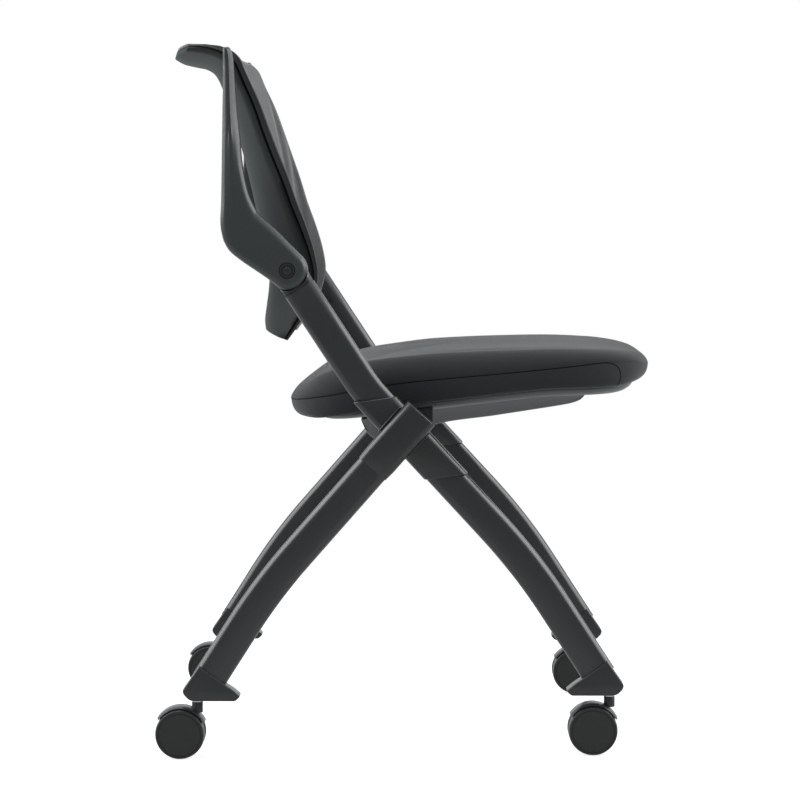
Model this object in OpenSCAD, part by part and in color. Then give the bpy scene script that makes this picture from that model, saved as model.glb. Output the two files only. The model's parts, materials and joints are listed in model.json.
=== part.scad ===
// Nesting chair: flat-oval tube frame with crossed legs, flip-up seat, sprung back, twin-wheel casters.
// Millimetres. +X is the way the sitter faces, +Z is up, Y = 0 is the plane of symmetry and Z = 0 the floor.

/* [Frame] */
// Distance from the plane of symmetry to the middle of each front tube
front_plane = 241; // [236:1:260]
// Height of the crossing of the legs, where the seat pivots
cross_z = 388; // [370:1:400]
// Width of the oval tube, seen from the side
tube_w = 40; // [36:1:42]
// Thickness of the oval tube, across the chair
tube_t = 20; // [18:1:21]
// Wall of the oval tube
tube_wall = 2; // [1.5:0.5:2.5]
// Radius of the long bends in the legs
leg_bend_r = 720; // [400:10:900]
// Radius of the short bend above the junction block
upper_bend_r = 200; // [120:10:210]
// Distance up the front tube from the crossing to its upper knee
upper_knee = 68.5; // [66:0.5:90]
// Distance from the upper knee to the back pivot
upright_len = 169; // [150:1:220]
// Distance down the front tube from the crossing to its lower knee
lower_knee = 216.5; // [190:0.5:240]
// Distance from the lower knee to the end of the front tube, inside its foot
front_shin_len = 162; // [150:1:190]
// Distance down the rear leg from the crossing to its knee
rear_knee = 246; // [220:1:270]
// Distance from the rear knee to the end of the rear leg, inside its foot
rear_shin_len = 133.5; // [120:0.5:160]

/* [Junction] */
// Thickness of the junction block, across the chair
block_t = 30; // [28:1:34]
// Width of the block and of the leg cap, seen from the side
block_w = 43; // [42.5:0.5:46]
// Rounding of the long edges of the block and the cap
block_edge_r = 9; // [4:1:11]
// Length of the block above the crossing
block_up = 52; // [48:1:56]
// Length of the block below the crossing
block_down = 74; // [60:1:90]
// Thickness of the leg cap, across the chair
cap_t = 28.8; // [27:0.1:32]
// Length of the leg cap below the crossing
cap_down = 57; // [45:1:70]
// Length of the leg cap above the crossing
cap_up = 31; // [28:1:36]
// Radius of the cross tube
cross_r = 15; // [13:0.5:16]
// Wall of the cross tube
cross_wall = 2.5; // [2:0.5:3]
// Radius of the stud that holds block, cap and cross tube together
stud_r = 5; // [4:0.5:6]

/* [Feet and casters] */
// Thickness of a foot, across the chair
foot_t = 27; // [26:0.5:30]
// Length of a foot's outline, from heel to toe
foot_len = 68; // [66:1:72]
// Height of the underside of the front feet
front_foot_z = 71; // [69:0.5:74]
// Height of the underside of the rear feet
rear_foot_z = 68.5; // [67:0.5:72]
// Radius of a wheel
wheel_r = 29.5; // [27:0.5:30]
// Width of one wheel of a twin
wheel_w = 17; // [14:0.5:22]
// Distance that the wheels trail behind the stem
trail = 20; // [17:0.5:22]
// Thickness of the web between twin wheels
web_t = 9; // [8:0.5:12]
// Radius of the caster's stem
stem_r = 5.5; // [5:0.1:5.5]
// Radius of the axle
axle_r = 3; // [2.5:0.1:4]

/* [Seat] */
// Length of the seat cushion, back to front
seat_len = 446; // [420:1:460]
// Gap between the seat cushion at its widest and the front tubes
seat_side_gap = 18; // [15:1:30]
// Distance from the seat pivot back to the rear of the cushion
seat_rear = 143; // [130:1:150]
// Thickness of the seat board inside the cushion
board_t = 8.5; // [6:0.5:12]
// Thickness of the seat pan
pan_t = 6; // [5:0.5:7]
// Gap between the carrier box under the seat and the seat's stops
carrier_side_gap = 27; // [6:1:50]
// Wall of the carrier
carrier_wall = 3; // [2.5:0.5:4]
// Thickness of the carrier's two end plates, where it hangs on the cross tube
carrier_end_t = 12; // [8:1:16]

/* [Back] */
// Height of the back, from its tail to its top
back_h = 360; // [330:1:380]
// Gap between the back at its widest, near its top, and the arms
back_side_gap = 5; // [4:1:14]
// Thickness of the back shell
shell_t = 4.5; // [4:0.5:6]
// Thickness of the board that carries the back pad
insert_t = 2.2; // [1.8:0.2:3]
// Thickness of the back pad in its middle
pad_t = 15; // [12:1:18]
// Thickness of the back pad at its side edge
pad_rim_t = 6; // [4:0.5:10]
// Height of the back arm, from pivot to tip
arm_h = 265; // [245:1:275]
// Thickness of the back arm at the pivot
arm_t = 26; // [24:1:28]
// Radius of the boss on the arm, round the back pivot
boss_r = 24; // [22:0.5:26]
// Radius of the pivot bolt
pivot_r = 5; // [4:0.5:6]

/* [Fits] */
// Gap between pieces that are fixed together
seat_gap = 0.1; // [0.05:0.05:0.2]
// Gap all round a soft piece
soft_gap = 0.3; // [0.3:0.1:0.5]
// Radial clearance of a shaft that turns in its bearing
run_gap = 0.06; // [0.03:0.01:0.09]
// Side clearance between pieces that turn past each other
side_gap = 0.5; // [0.4:0.1:0.8]

/* [Hidden] */

$fn = 96;
// Each side's sign on Y: the sitter's left hand is at +Y
LEFT = 1;
RIGHT = -1;
SIDES = [LEFT, RIGHT];
// Overrun of a cut past the face that it opens
over = 1;

// Slopes of the tubes, in degrees below the horizontal
upright_slope = 56.7;
middle_slope = 47.3;
front_shin_slope = 57;
rear_thigh_slope = 48.7;
rear_shin_slope = 57.5;

// The rear legs stand outside the junction blocks
rear_plane = front_plane + block_t / 2 + seat_gap + cap_t / 2;
block_out = front_plane + block_t / 2;
block_in = front_plane - block_t / 2;

// Widths of the seat and the back, inside the frame
seat_w = 2 * (front_plane - tube_t / 2 - seat_side_gap);
arm_in = front_plane - arm_t / 2;
arm_out = front_plane + arm_t / 2;
back_w = 2 * (arm_in - back_side_gap);

// A point at a distance along a direction in the side view
function along(p, slope, d) = p + d * [cos(slope), sin(slope)];
function xz(p) = [p.x, 0, p.y];

crossing = [0, cross_z];
front_upper_knee = along(crossing, 180 - middle_slope, upper_knee);
back_pivot = along(front_upper_knee, 180 - upright_slope, upright_len);
front_lower_knee = along(crossing, -middle_slope, lower_knee);
front_end = along(front_lower_knee, -front_shin_slope, front_shin_len);
rear_lower_knee = along(crossing, 180 + rear_thigh_slope, rear_knee);
rear_end = along(rear_lower_knee, 180 + rear_shin_slope, rear_shin_len);

// Oval section with flat sides and half-round edges, and the same with a wall
arc_steps = 10;
function oval_points(w, t) = [
    for (s = [1, -1], i = [0 : arc_steps])
        let (a = 180 * i / arc_steps - s * 90)
            [s * (w - t) / 2 + t / 2 * cos(a), t / 2 * sin(a)]
];
module oval(w, t) {
    polygon(oval_points(w, t));
}

// Rectangle with round corners
module round_rect(w, t, r) {
    square([w - 2 * r, t], center = true);
    square([w, t - 2 * r], center = true);
    for (a = [-1, 1], b = [-1, 1]) translate([a * (w / 2 - r), b * (t / 2 - r)]) circle(r = r);
}

// Section run straight from p for a length, at an angle in the side view
module straight(p, angle, len) {
    translate(xz(p)) rotate([0, 90 - angle, 0]) linear_extrude(len) children();
}

// Stations of a run: a point of the middle line and the run's direction there. A knee adds those of its bend.
bend_steps = 6;
function tangent_len(turn, r) = r * tan(abs(turn) / 2);
function knee_stations(knee, from, to, r) =
    let (side = to > from ? 1 : -1,
         centre = along(along(knee, from + 180, tangent_len(to - from, r)), from + side * 90, r))
        [for (i = [0 : bend_steps])
            let (a = from + (to - from) * i / bend_steps) [along(centre, a - side * 90, r), a]];

// Oval section swept through stations, hollow where it is given a wall
module sweep(stations, w, t, wall = 0) {
    section = oval_points(w, t);
    m = len(section);
    n = len(stations);
    function ring(st, pts) = [for (q = pts)
        let (p = st[0] + q.x * [sin(st[1]), -cos(st[1])]) [p.x, q.y, p.y]];
    outer = [for (st = stations) each ring(st, section)];
    inner = [for (st = stations) each ring(st, oval_points(w - 2 * wall, t - 2 * wall))];
    function skin(at, flip) = [for (i = [0 : n - 2], j = [0 : m - 1], k = [0, 1])
        let (a = at + i * m + j, b = at + i * m + (j + 1) % m,
             tri = k == 0 ? [b + m, b, a] : [a + m, b + m, a])
            flip ? [tri[2], tri[1], tri[0]] : tri];
    function end_wall(i, flip) = [for (j = [0 : m - 1], k = [0, 1])
        let (a = i * m + j, b = i * m + (j + 1) % m,
             tri = k == 0 ? [n * m + b, n * m + a, a] : [b, n * m + b, a])
            flip ? [tri[2], tri[1], tri[0]] : tri];
    if (wall > 0)
        polyhedron(concat(outer, inner),
                   concat(skin(0, false), skin(n * m, true), end_wall(0, false), end_wall(n - 1, true)));
    else
        polyhedron(outer, concat(skin(0, false), [[for (j = [0 : m - 1]) j]],
                                 [[for (j = [m - 1 : -1 : 0]) (n - 1) * m + j]]));
}

front_stations = concat(
    [[along(back_pivot, -upright_slope, boss_r / 2), -upright_slope]],
    knee_stations(front_upper_knee, -upright_slope, -middle_slope, upper_bend_r),
    knee_stations(front_lower_knee, -middle_slope, -front_shin_slope, leg_bend_r),
    [[front_end, -front_shin_slope]]
);
// Thickness of the cap over the end of the leg
cap_roof = 4;
leg_top = cap_up - cap_roof;
rear_stations = concat(
    [[along(crossing, rear_thigh_slope, leg_top), 180 + rear_thigh_slope]],
    knee_stations(rear_lower_knee, 180 + rear_thigh_slope, 180 + rear_shin_slope, leg_bend_r),
    [[rear_end, 180 + rear_shin_slope]]
);

// Holes for the stud through the crossing and for the block's screws
block_screw_r = 2.6;
block_screw_up = 38;
block_screw_down = 50;
module block_screw_places() {
    translate(xz(along(crossing, 180 - middle_slope, block_screw_up))) children();
    translate(xz(along(crossing, -middle_slope, block_screw_down))) children();
}

// Cylinder along Y from one distance out from the middle of the chair to another
module rod(side, y0, y1, r) {
    translate([0, side > 0 ? y0 : -y1, 0]) rotate([-90, 0, 0]) cylinder(r = r, h = y1 - y0);
}

// Screw that holds the back fitting in the top of the upright
fitting_screw_r = 2.6;
fitting_screw_d = 58;
fitting_screw_at = along(back_pivot, -upright_slope, fitting_screw_d);

// Radius round the back pivot at which the upright ends
tube_end_gap = 1.75;
front_top_gap = boss_r + side_gap + tube_end_gap;
module front_tube(side) {
    color([0.2, 0.21, 0.22]) difference() {
        translate([0, side * front_plane, 0]) sweep(front_stations, tube_w, tube_t, tube_wall);
        translate(xz(back_pivot)) rod(side, front_plane - tube_t, front_plane + tube_t, front_top_gap);
        translate(xz(crossing)) rod(side, block_in, block_out, stud_r + seat_gap);
        block_screw_places() rod(side, block_in, front_plane, block_screw_r + seat_gap);
        translate(xz(fitting_screw_at)) rod(side, block_in, front_plane, fitting_screw_r + seat_gap);
    }
}

// Rear leg of one side, outside the block, running up into its cap
module rear_leg(side) {
    color([0.2, 0.21, 0.22]) difference() {
        translate([0, side * rear_plane, 0]) sweep(rear_stations, tube_w, tube_t, tube_wall);
        translate(xz(crossing)) rod(side, block_out, rear_plane, stud_r + seat_gap);
    }
}

// Block at the crossing: a sleeve on the front tube, with slanted ends and lips beside the leg cap
block_end_slope = 8;
lip_t = 2.4;
lip_h = 5;
lip_gap = 0.4;
module junction_block(side) {
    reach = block_w / 2 / sin(middle_slope + block_end_slope);
    high = along(crossing, 180 - middle_slope, block_up);
    low = along(crossing, -middle_slope, block_down);
    outline = [
        along(high, 180 + block_end_slope, reach), along(high, block_end_slope, reach),
        along(low, block_end_slope, reach), along(low, 180 + block_end_slope, reach),
    ];
    color([0.23, 0.24, 0.25]) difference() {
        translate([0, side * front_plane, 0]) union() {
            intersection() {
                straight(along(crossing, 180 - middle_slope, block_up + block_w), -middle_slope,
                         block_up + block_down + 2 * block_w)
                    round_rect(block_w, block_t, block_edge_r);
                rotate([90, 0, 0]) translate([0, 0, -block_t]) linear_extrude(2 * block_t) polygon(outline);
            }
            for (s = [-1, 1])
                translate(xz(along(crossing, rear_thigh_slope + 90, s * (block_w / 2 + lip_gap + lip_t / 2))))
                    rotate([0, -rear_thigh_slope, 0])
                        translate([0, side * block_t / 2, 0])
                            cube([block_w - block_edge_r, 2 * lip_h, lip_t], center = true);
        }
        translate([0, side * front_plane, 0])
            sweep(front_stations, tube_w + 2 * seat_gap, tube_t + 2 * seat_gap);
        translate(xz(crossing)) rod(side, block_in - over, block_out + over, stud_r + seat_gap);
        block_screw_places() {
            rod(side, block_in - over, front_plane, block_screw_r + seat_gap);
            rod(side, block_in - over, block_in + screw_head_h, screw_head_r + seat_gap);
        }
    }
}

// Cap over the top of the rear leg
module leg_cap(side) {
    color([0.23, 0.24, 0.25]) difference() {
        translate([0, side * rear_plane, 0])
            straight(along(crossing, rear_thigh_slope, cap_up), 180 + rear_thigh_slope, cap_up + cap_down)
                round_rect(block_w, cap_t, block_edge_r);
        translate([0, side * rear_plane, 0])
            straight(along(crossing, rear_thigh_slope, leg_top + seat_gap), 180 + rear_thigh_slope,
                     leg_top + cap_down + over)
                oval(tube_w + 2 * seat_gap, tube_t + 2 * seat_gap);
        translate(xz(crossing)) rod(side, block_out - over, rear_plane, stud_r + seat_gap);
    }
}

// Cross tube between the blocks: the seat's hinge shaft
plug_len = 30;
module cross_tube() {
    color([0.2, 0.21, 0.22]) translate(xz(crossing)) rotate([90, 0, 0]) difference() {
        cylinder(r = cross_r, h = 2 * (block_in - seat_gap), center = true);
        cylinder(r = cross_r - cross_wall, h = 2 * block_in, center = true);
    }
}

module cross_tube_plugs() {
    color([0.5, 0.51, 0.52]) for (side = SIDES) translate(xz(crossing)) difference() {
        rod(side, block_in - seat_gap - plug_len, block_in - seat_gap, cross_r - cross_wall - seat_gap);
        rod(side, block_in - plug_len - over, block_in, stud_r + seat_gap);
    }
}

module junction_studs() {
    color([0.6, 0.6, 0.62]) for (side = SIDES) translate(xz(crossing))
        rod(side, block_in - plug_len, rear_plane - tube_t / 2 + tube_wall, stud_r);
}

// Screw along Y whose head is on its inner end
screw_head_r = 4.8;
screw_head_h = 2.6;
socket_r = 2;
module side_screw(side, y0, y1, r) {
    difference() {
        union() {
            rod(side, y0, y0 + screw_head_h, screw_head_r);
            rod(side, y0, y1, r);
        }
        rod(side, y0 - over, y0 + screw_head_h / 2, socket_r);
    }
}

module block_screws() {
    color([0.3, 0.3, 0.31]) for (side = SIDES) block_screw_places()
        side_screw(side, block_in, front_plane - tube_t / 2 + 2 * tube_wall, block_screw_r);
}

// Outline of a foot, as shares of its length from the stem's axis and its underside: heel, sole, toe, seam
foot_shares = [
    [-0.044, 0.613], [0.250, 0.191], [0.235, 0.118], [0.147, 0.029], [0.074, 0],
    [-0.676, 0], [-0.765, 0.088], [-0.618, 0.206], [-0.485, 0.294],
];
// Distances that the stems stand beyond the ends of the tubes
front_stem_lead = 11;
rear_stem_lead = 12.4;
front_stem_x = front_end.x + front_stem_lead;
rear_stem_x = rear_end.x - rear_stem_lead;
socket_depth = 19;

// Foot of one corner: fore is 1 at the front, where the heel points forward, and -1 at the rear
module foot(fore, side) {
    plane = fore > 0 ? front_plane : rear_plane;
    base = fore > 0 ? front_foot_z : rear_foot_z;
    stem_x = fore > 0 ? front_stem_x : rear_stem_x;
    end = fore > 0 ? front_end : rear_end;
    slope = fore > 0 ? 180 - front_shin_slope : rear_shin_slope;
    color([0.19, 0.2, 0.21]) translate([0, side * plane, 0]) difference() {
        translate([stem_x, 0, base]) rotate([90, 0, 0]) linear_extrude(foot_t, center = true)
            polygon([for (s = foot_shares) [fore * s.x, s.y] * foot_len]);
        straight(along(end, slope + 180, seat_gap), slope, foot_len)
            oval(tube_w + 2 * seat_gap, tube_t + 2 * seat_gap);
        translate([stem_x, 0, base - over]) cylinder(r = stem_r + run_gap, h = socket_depth + over);
    }
}

// Fitting in the top of the upright: a plug, a collar flush with the tube, and a tongue on the inner half
plug_in = 45;
plug_gap = 0.2;
tongue_r = 19;
tongue_in = front_plane - tube_t / 2;
tongue_out = front_plane - side_gap / 2;
module back_fitting(side) {
    color([0.2, 0.21, 0.22]) difference() {
        union() {
            translate([0, side * front_plane, 0]) {
                straight(along(back_pivot, -upright_slope, boss_r), -upright_slope, plug_in)
                    oval(tube_w - 2 * tube_wall - 2 * plug_gap, tube_t - 2 * tube_wall - 2 * plug_gap);
                intersection() {
                    straight(back_pivot, -upright_slope, plug_in) oval(tube_w, tube_t);
                    translate(xz(back_pivot)) rotate([90, 0, 0])
                        cylinder(r = front_top_gap - seat_gap, h = 2 * tube_t, center = true);
                }
            }
            translate(xz(back_pivot)) rod(side, tongue_in, tongue_out, tongue_r);
        }
        translate(xz(back_pivot)) {
            rod(side, tongue_out, front_plane + tube_t, boss_r + side_gap);
            rod(side, tongue_in - over, tongue_out + over, pivot_r + seat_gap);
        }
        translate(xz(fitting_screw_at)) rod(side, tongue_in, front_plane, fitting_screw_r + seat_gap);
    }
}

module fitting_screws() {
    color([0.3, 0.3, 0.31]) for (side = SIDES) translate(xz(fitting_screw_at))
        side_screw(side, tongue_in - screw_head_h, front_plane - tube_t / 4, fitting_screw_r);
}

// Bolt of the back pivot: fixed in the tongue, turning in the arm's bush, its head in the arm's recess
recess_r = 10;
recess_h = 2.5;
bolt_head_r = 8;
bolt_head_h = 2;
module pivot_bolts() {
    color([0.3, 0.3, 0.31]) for (side = SIDES) translate(xz(back_pivot)) difference() {
        union() {
            rod(side, tongue_in, arm_out - recess_h + side_gap, pivot_r);
            rod(side, arm_out - recess_h + side_gap / 2, arm_out - recess_h + bolt_head_h, bolt_head_r);
        }
        rod(side, arm_out - bolt_head_h, arm_out, pivot_r / 2);
    }
}

// Places on the seat are given from its pivot, and shares along it run from 0 at the rear to 1 at the front.
// Heights above the pivot are shares of the seat's length.
crown_shares = [
    [0, 0.080], [0.034, 0.112], [0.072, 0.139], [0.092, 0.150], [0.159, 0.171], [0.231, 0.188],
    [0.372, 0.211], [0.446, 0.2155], [0.590, 0.220], [0.760, 0.222], [0.865, 0.213], [0.930, 0.203],
    [0.970, 0.192], [1, 0.178],
];
crease_shares = [
    [0, 0.078], [0.050, 0.110], [0.105, 0.144], [0.220, 0.178], [0.307, 0.189], [0.444, 0.200],
    [0.581, 0.207], [0.744, 0.213], [0.854, 0.210], [0.910, 0.204], [0.964, 0.191], [1, 0.174],
];
seam_shares = [
    [0, 0.066], [0.092, 0.083], [0.309, 0.123], [0.444, 0.137], [0.578, 0.150], [0.713, 0.164],
    [0.850, 0.166], [1, 0.152],
];
base_shares = [
    [0, 0.032], [0.030, 0.023], [0.055, 0.0215], [0.075, 0.021], [0.092, 0.0225], [0.132, 0.029],
    [0.204, 0.041], [0.350, 0.065], [0.444, 0.076], [0.578, 0.092], [0.740, 0.1065], [0.848, 0.108],
    [0.904, 0.110], [0.955, 0.120], [1, 0.133],
];
function seat_share(x) = (x + seat_rear) / seat_len;
function seat_height(x, shares) = cross_z + seat_len * lookup(seat_share(x), shares);
function base_z(x) = seat_height(x, base_shares);

// The pan, the board and the room for them bend at the same places along the seat
plate_steps = 24;
plate_rows = [for (i = [0 : plate_steps]) let (x = seat_len * i / plate_steps - seat_rear) [x, base_z(x)]];
function pan_bottom(x) = lookup(x, plate_rows) - soft_gap - pan_t;

// Plan of the seat: a rounded rectangle by the superellipse formula
plan_power = 4;
seat_mid = seat_len / 2 - seat_rear;
function signed_pow(v, p) = sign(v) * pow(abs(v), p);
function seat_plan(a, s) = [
    seat_mid + s * seat_len / 2 * signed_pow(cos(a), 2 / plan_power),
    s * seat_w / 2 * signed_pow(sin(a), 2 / plan_power),
];

// Lugs on the cross tube that the seat comes down on, and their rubber pads
stop_inset = 27;
stop_y = seat_w / 2 - stop_inset;
stop_w = 18;
carrier_w = 2 * (stop_y - stop_w / 2 - carrier_side_gap);
stop_len = 34;
bumper_t = 3.5;
stop_top = pan_bottom(stop_len) - soft_gap - bumper_t;
module seat_stops() {
    color([0.2, 0.21, 0.22]) for (side = SIDES) translate([0, side * stop_y, 0]) rotate([90, 0, 0])
        difference() {
            linear_extrude(stop_w, center = true)
                polygon([
                    [0, cross_z], [stop_len, cross_z + cross_r / 2], [stop_len, stop_top],
                    [cross_r / 2, pan_bottom(cross_r / 2) - soft_gap - bumper_t],
                    [0, cross_z + cross_r + seat_gap],
                ]);
            translate(crossing) cylinder(r = cross_r + seat_gap, h = 2 * stop_w, center = true);
        }
}

module stop_bumpers() {
    low = [cross_r / 2, pan_bottom(cross_r / 2) - soft_gap - bumper_t + seat_gap];
    high = [stop_len, stop_top + seat_gap];
    rise = [0, bumper_t - seat_gap];
    color([0.12, 0.12, 0.13]) for (side = SIDES) translate([0, side * stop_y, 0]) rotate([90, 0, 0])
        linear_extrude(stop_w, center = true) polygon([low, high, high + rise, low + rise]);
}

// Faces of the skin through n rings of m points. The second half of a ring has its faces split the other
// way, so that layers that lie back to back are split alike.
function skin_faces(n, m) = [for (i = [0 : n - 2], j = [0 : m - 1])
    let (a = i * m + j, b = i * m + (j + 1) % m)
        each j < m / 2 ? [[b + m, b, a], [a + m, b + m, a]] : [[a + m, b, a], [a + m, b + m, b]]];

// Closed solid through rings, with a middle point at each end
module loft(rings, first, last) {
    m = len(rings[0]);
    n = len(rings);
    polyhedron(concat([for (r = rings) each r], [first, last]), concat(
        skin_faces(n, m),
        [for (j = [0 : m - 1]) [n * m, j, (j + 1) % m]],
        [for (j = [0 : m - 1]) [n * m + 1, (n - 1) * m + (j + 1) % m, (n - 1) * m + j]]
    ));
}

// Closed solid through rings that run out along a front and back along a rear, closed between the two
module layer_loft(rings) {
    m = len(rings[0]);
    n = len(rings);
    polyhedron([for (r = rings) each r], concat(
        skin_faces(n, m),
        [for (j = [0 : m / 2 - 2]) let (k = m - 1 - j) each [[j, j + 1, k], [j + 1, k - 1, k]]],
        [for (j = [0 : m / 2 - 2]) let (k = m - 1 - j, e = (n - 1) * m)
            each [[e + k, e + j + 1, e + j], [e + k, e + k - 1, e + j + 1]]]
    ));
}

// Rings of the cushion from under it, round the bulging side and up the crown. Each has its share of the
// plan's size, the two height tables that it lies between, and where between them.
recess_share = 0.885;
pan_room_share = 0.925;
seat_points = 60;
seat_turn = 360 / seat_points;
// Depth to which the cushion's form runs on below its underside, before the pan's and the board's room is cut
under_depth = 12;
module seat_cushion() {
    function ring(s, low, high, f, lift = 0) = [
        for (k = [0 : seat_points - 1])
            let (p = seat_plan(k * seat_turn, s),
                 z = seat_height(p.x, low) * (1 - f) + seat_height(p.x, high) * f)
                [p.x, p.y, z + lift]
    ];
    rings = [
        ring(recess_share / 2, base_shares, base_shares, 0, -under_depth),
        ring(recess_share, base_shares, base_shares, 0, -under_depth / 2),
        ring(0.945, base_shares, seam_shares, 0),
        ring(0.975, base_shares, seam_shares, 0.14),
        ring(0.993, base_shares, seam_shares, 0.5),
        ring(1, base_shares, seam_shares, 1),
        ring(0.994, seam_shares, crease_shares, 0.35),
        ring(0.975, seam_shares, crease_shares, 0.7),
        ring(0.935, seam_shares, crease_shares, 0.92),
        ring(0.86, crease_shares, crown_shares, 0.1),
        ring(0.72, crease_shares, crown_shares, 0.5),
        ring(0.50, crease_shares, crown_shares, 0.82),
        ring(0.25, crease_shares, crown_shares, 0.96),
    ];
    color([0.1, 0.1, 0.11]) difference() {
        loft(rings, [seat_mid, 0, base_z(seat_mid) - under_depth],
             [seat_mid, 0, seat_height(seat_mid, crown_shares)]);
        seat_plate(pan_room_share, -3 * under_depth, 0);
        seat_plate(recess_share, -3 * under_depth, board_t + 2 * soft_gap);
    }
}

// Plate that follows the cushion's underside: plan share, and its heights below and above that underside
module seat_plate(s, low, high) {
    intersection() {
        linear_extrude(2 * cross_z) polygon([for (k = [0 : seat_points - 1])
            seat_plan(k * seat_turn, s)]);
        rotate([90, 0, 0]) linear_extrude(seat_w, center = true)
            polygon(concat([for (p = plate_rows) p + [0, low]],
                           [for (i = [plate_steps : -1 : 0]) plate_rows[i] + [0, high]]));
    }
}

board_share = 0.872;
pan_share = 0.915;
seat_screw_x = [62, 176];
seat_screw_inset = 42;
seat_screw_y = carrier_w / 2 - seat_screw_inset;
seat_screw_r = 2.6;
module seat_screw_places() {
    for (x = seat_screw_x, side = SIDES) translate([x, side * seat_screw_y, 0]) children();
}

module seat_board() {
    color([0.55, 0.42, 0.28]) difference() {
        seat_plate(board_share, soft_gap, soft_gap + board_t);
        seat_screw_places() cylinder(r = seat_screw_r + seat_gap, h = 2 * cross_z);
    }
}

module seat_pan() {
    color([0.27, 0.28, 0.29]) difference() {
        seat_plate(pan_share, -soft_gap - pan_t, -soft_gap + seat_gap);
        seat_screw_places() cylinder(r = seat_screw_r + seat_gap, h = 2 * cross_z);
    }
}

// Carrier: a shallow box under the pan, as shares of the seat's length from the pivot, rear to front
carrier_rear_share = -0.119;
carrier_shares = [
    [-0.112, -0.004], [-0.096, -0.031], [-0.076, -0.043], [-0.034, -0.054],
    [0.018, -0.054], [0.054, -0.036], [0.079, 0.001], [0.460, 0.063], [0.490, 0.067],
];
carrier_front = carrier_shares[len(carrier_shares) - 1].x * seat_len;
carrier_rear = carrier_rear_share * seat_len;
hinge_bush_t = 3;
bush_flange_r = 4;
bush_flange_t = 2;
function carrier_outline(inset) =
    let (rear = carrier_rear + inset,
         front = carrier_front - 2 * inset,
         bends = [for (i = [plate_steps : -1 : 0]) plate_rows[i].x],
         tops = concat([front], [for (x = bends) if (x > rear && x < front - inset) x], [rear]))
        concat(
            [for (s = carrier_shares) [min(max(s.x * seat_len, rear), front), cross_z + s.y * seat_len + inset]],
            [for (x = tops) [x, pan_bottom(x) - seat_gap + 2 * inset]]
        );
module carrier_block(inset) {
    rotate([90, 0, 0]) linear_extrude(carrier_w - (inset > 0 ? 2 * carrier_end_t : 0), center = true)
        polygon(carrier_outline(inset));
}
module seat_carrier() {
    screw_post_r = 7;
    color([0.3, 0.31, 0.32]) difference() {
        union() {
            difference() {
                carrier_block(0);
                carrier_block(carrier_wall);
            }
            intersection() {
                seat_screw_places() translate([0, 0, cross_z]) cylinder(r = screw_post_r, h = cross_z);
                carrier_block(0);
            }
        }
        translate(xz(crossing)) rotate([90, 0, 0])
            cylinder(r = cross_r + run_gap + hinge_bush_t + seat_gap, h = seat_w, center = true);
        seat_screw_places() cylinder(r = seat_screw_r + seat_gap, h = 2 * cross_z);
        for (x = seat_screw_x, side = SIDES) translate([x, side * seat_screw_y, 0])
            cylinder(r = screw_head_r + seat_gap, h = screw_seat_z(x));
    }
}
// Height of the shoulder that a seat screw's head bears on
function carrier_bottom(x) = cross_z + seat_len * lookup(x / seat_len, carrier_shares);
function screw_seat_z(x) = carrier_bottom(x) + 2 * carrier_wall;

module hinge_bushes() {
    bore = cross_r + run_gap;
    wall_in = carrier_w / 2 - carrier_end_t;
    color([0.8, 0.8, 0.78]) for (side = SIDES) translate(xz(crossing)) difference() {
        union() {
            rod(side, wall_in, carrier_w / 2, bore + hinge_bush_t);
            rod(side, wall_in - bush_flange_t - seat_gap, wall_in - seat_gap, bore + bush_flange_r);
            rod(side, wall_in - bush_flange_t, wall_in + over, bore + hinge_bush_t);
        }
        rod(side, wall_in - 2 * carrier_end_t, carrier_w, bore);
    }
}

module seat_screws() {
    color([0.3, 0.3, 0.31]) for (x = seat_screw_x, side = SIDES)
        translate([x, side * seat_screw_y, screw_seat_z(x) - screw_head_h - seat_gap]) difference() {
            union() {
                cylinder(r = screw_head_r, h = screw_head_h);
                cylinder(r = seat_screw_r, h = base_z(x) + 0.8 * board_t - screw_seat_z(x) + screw_head_h);
            }
            translate([0, 0, -over]) cylinder(r = socket_r, h = over + screw_head_h / 2);
        }
}

// Back: stations from the tail to the tip of the roll, as shares of the back's height from its pivot.
// Each has the shell's rear face in the middle (x, z), its front face at the side edge (x, z), its half
// width as a share of the widest, and the pad's thickness in the middle and at its rim as shares of
// pad_t and pad_rim_t.
back_shares = [
    [-0.103, -0.218, -0.020, -0.240, 0.655, 0.40, 0.30],
    [-0.106, -0.185, -0.004, -0.215, 0.680, 0.60, 0.35],
    [-0.100, -0.135, 0.037, -0.150, 0.692, 0.85, 0.45],
    [-0.093, -0.080, 0.066, -0.085, 0.697, 0.95, 0.50],
    [-0.091, -0.020, 0.077, -0.020, 0.705, 1, 0.60],
    [-0.104, 0.055, 0.062, 0.055, 0.718, 1, 0.80],
    [-0.120, 0.130, 0.034, 0.135, 0.742, 1, 1],
    [-0.138, 0.210, 0.003, 0.215, 0.785, 1, 1],
    [-0.156, 0.290, -0.024, 0.295, 0.850, 1, 1],
    [-0.175, 0.370, -0.053, 0.370, 0.920, 1, 1],
    [-0.198, 0.455, -0.084, 0.455, 0.972, 1, 1],
    [-0.226, 0.545, -0.115, 0.545, 0.998, 1, 1],
    [-0.252, 0.620, -0.150, 0.625, 1, 1.05, 1],
    [-0.276, 0.664, -0.180, 0.690, 0.988, 1.10, 1],
    [-0.310, 0.686, -0.218, 0.718, 0.965, 0.95, 0.90],
    [-0.350, 0.695, -0.262, 0.734, 0.935, 0.65, 0.50],
    [-0.388, 0.704, -0.305, 0.741, 0.895, 0.42, 0.25],
    [-0.414, 0.718, -0.335, 0.743, 0.850, 0.30, 0.20],
];
back_steps = 2;
back_count = (len(back_shares) - 1) * back_steps;

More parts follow.
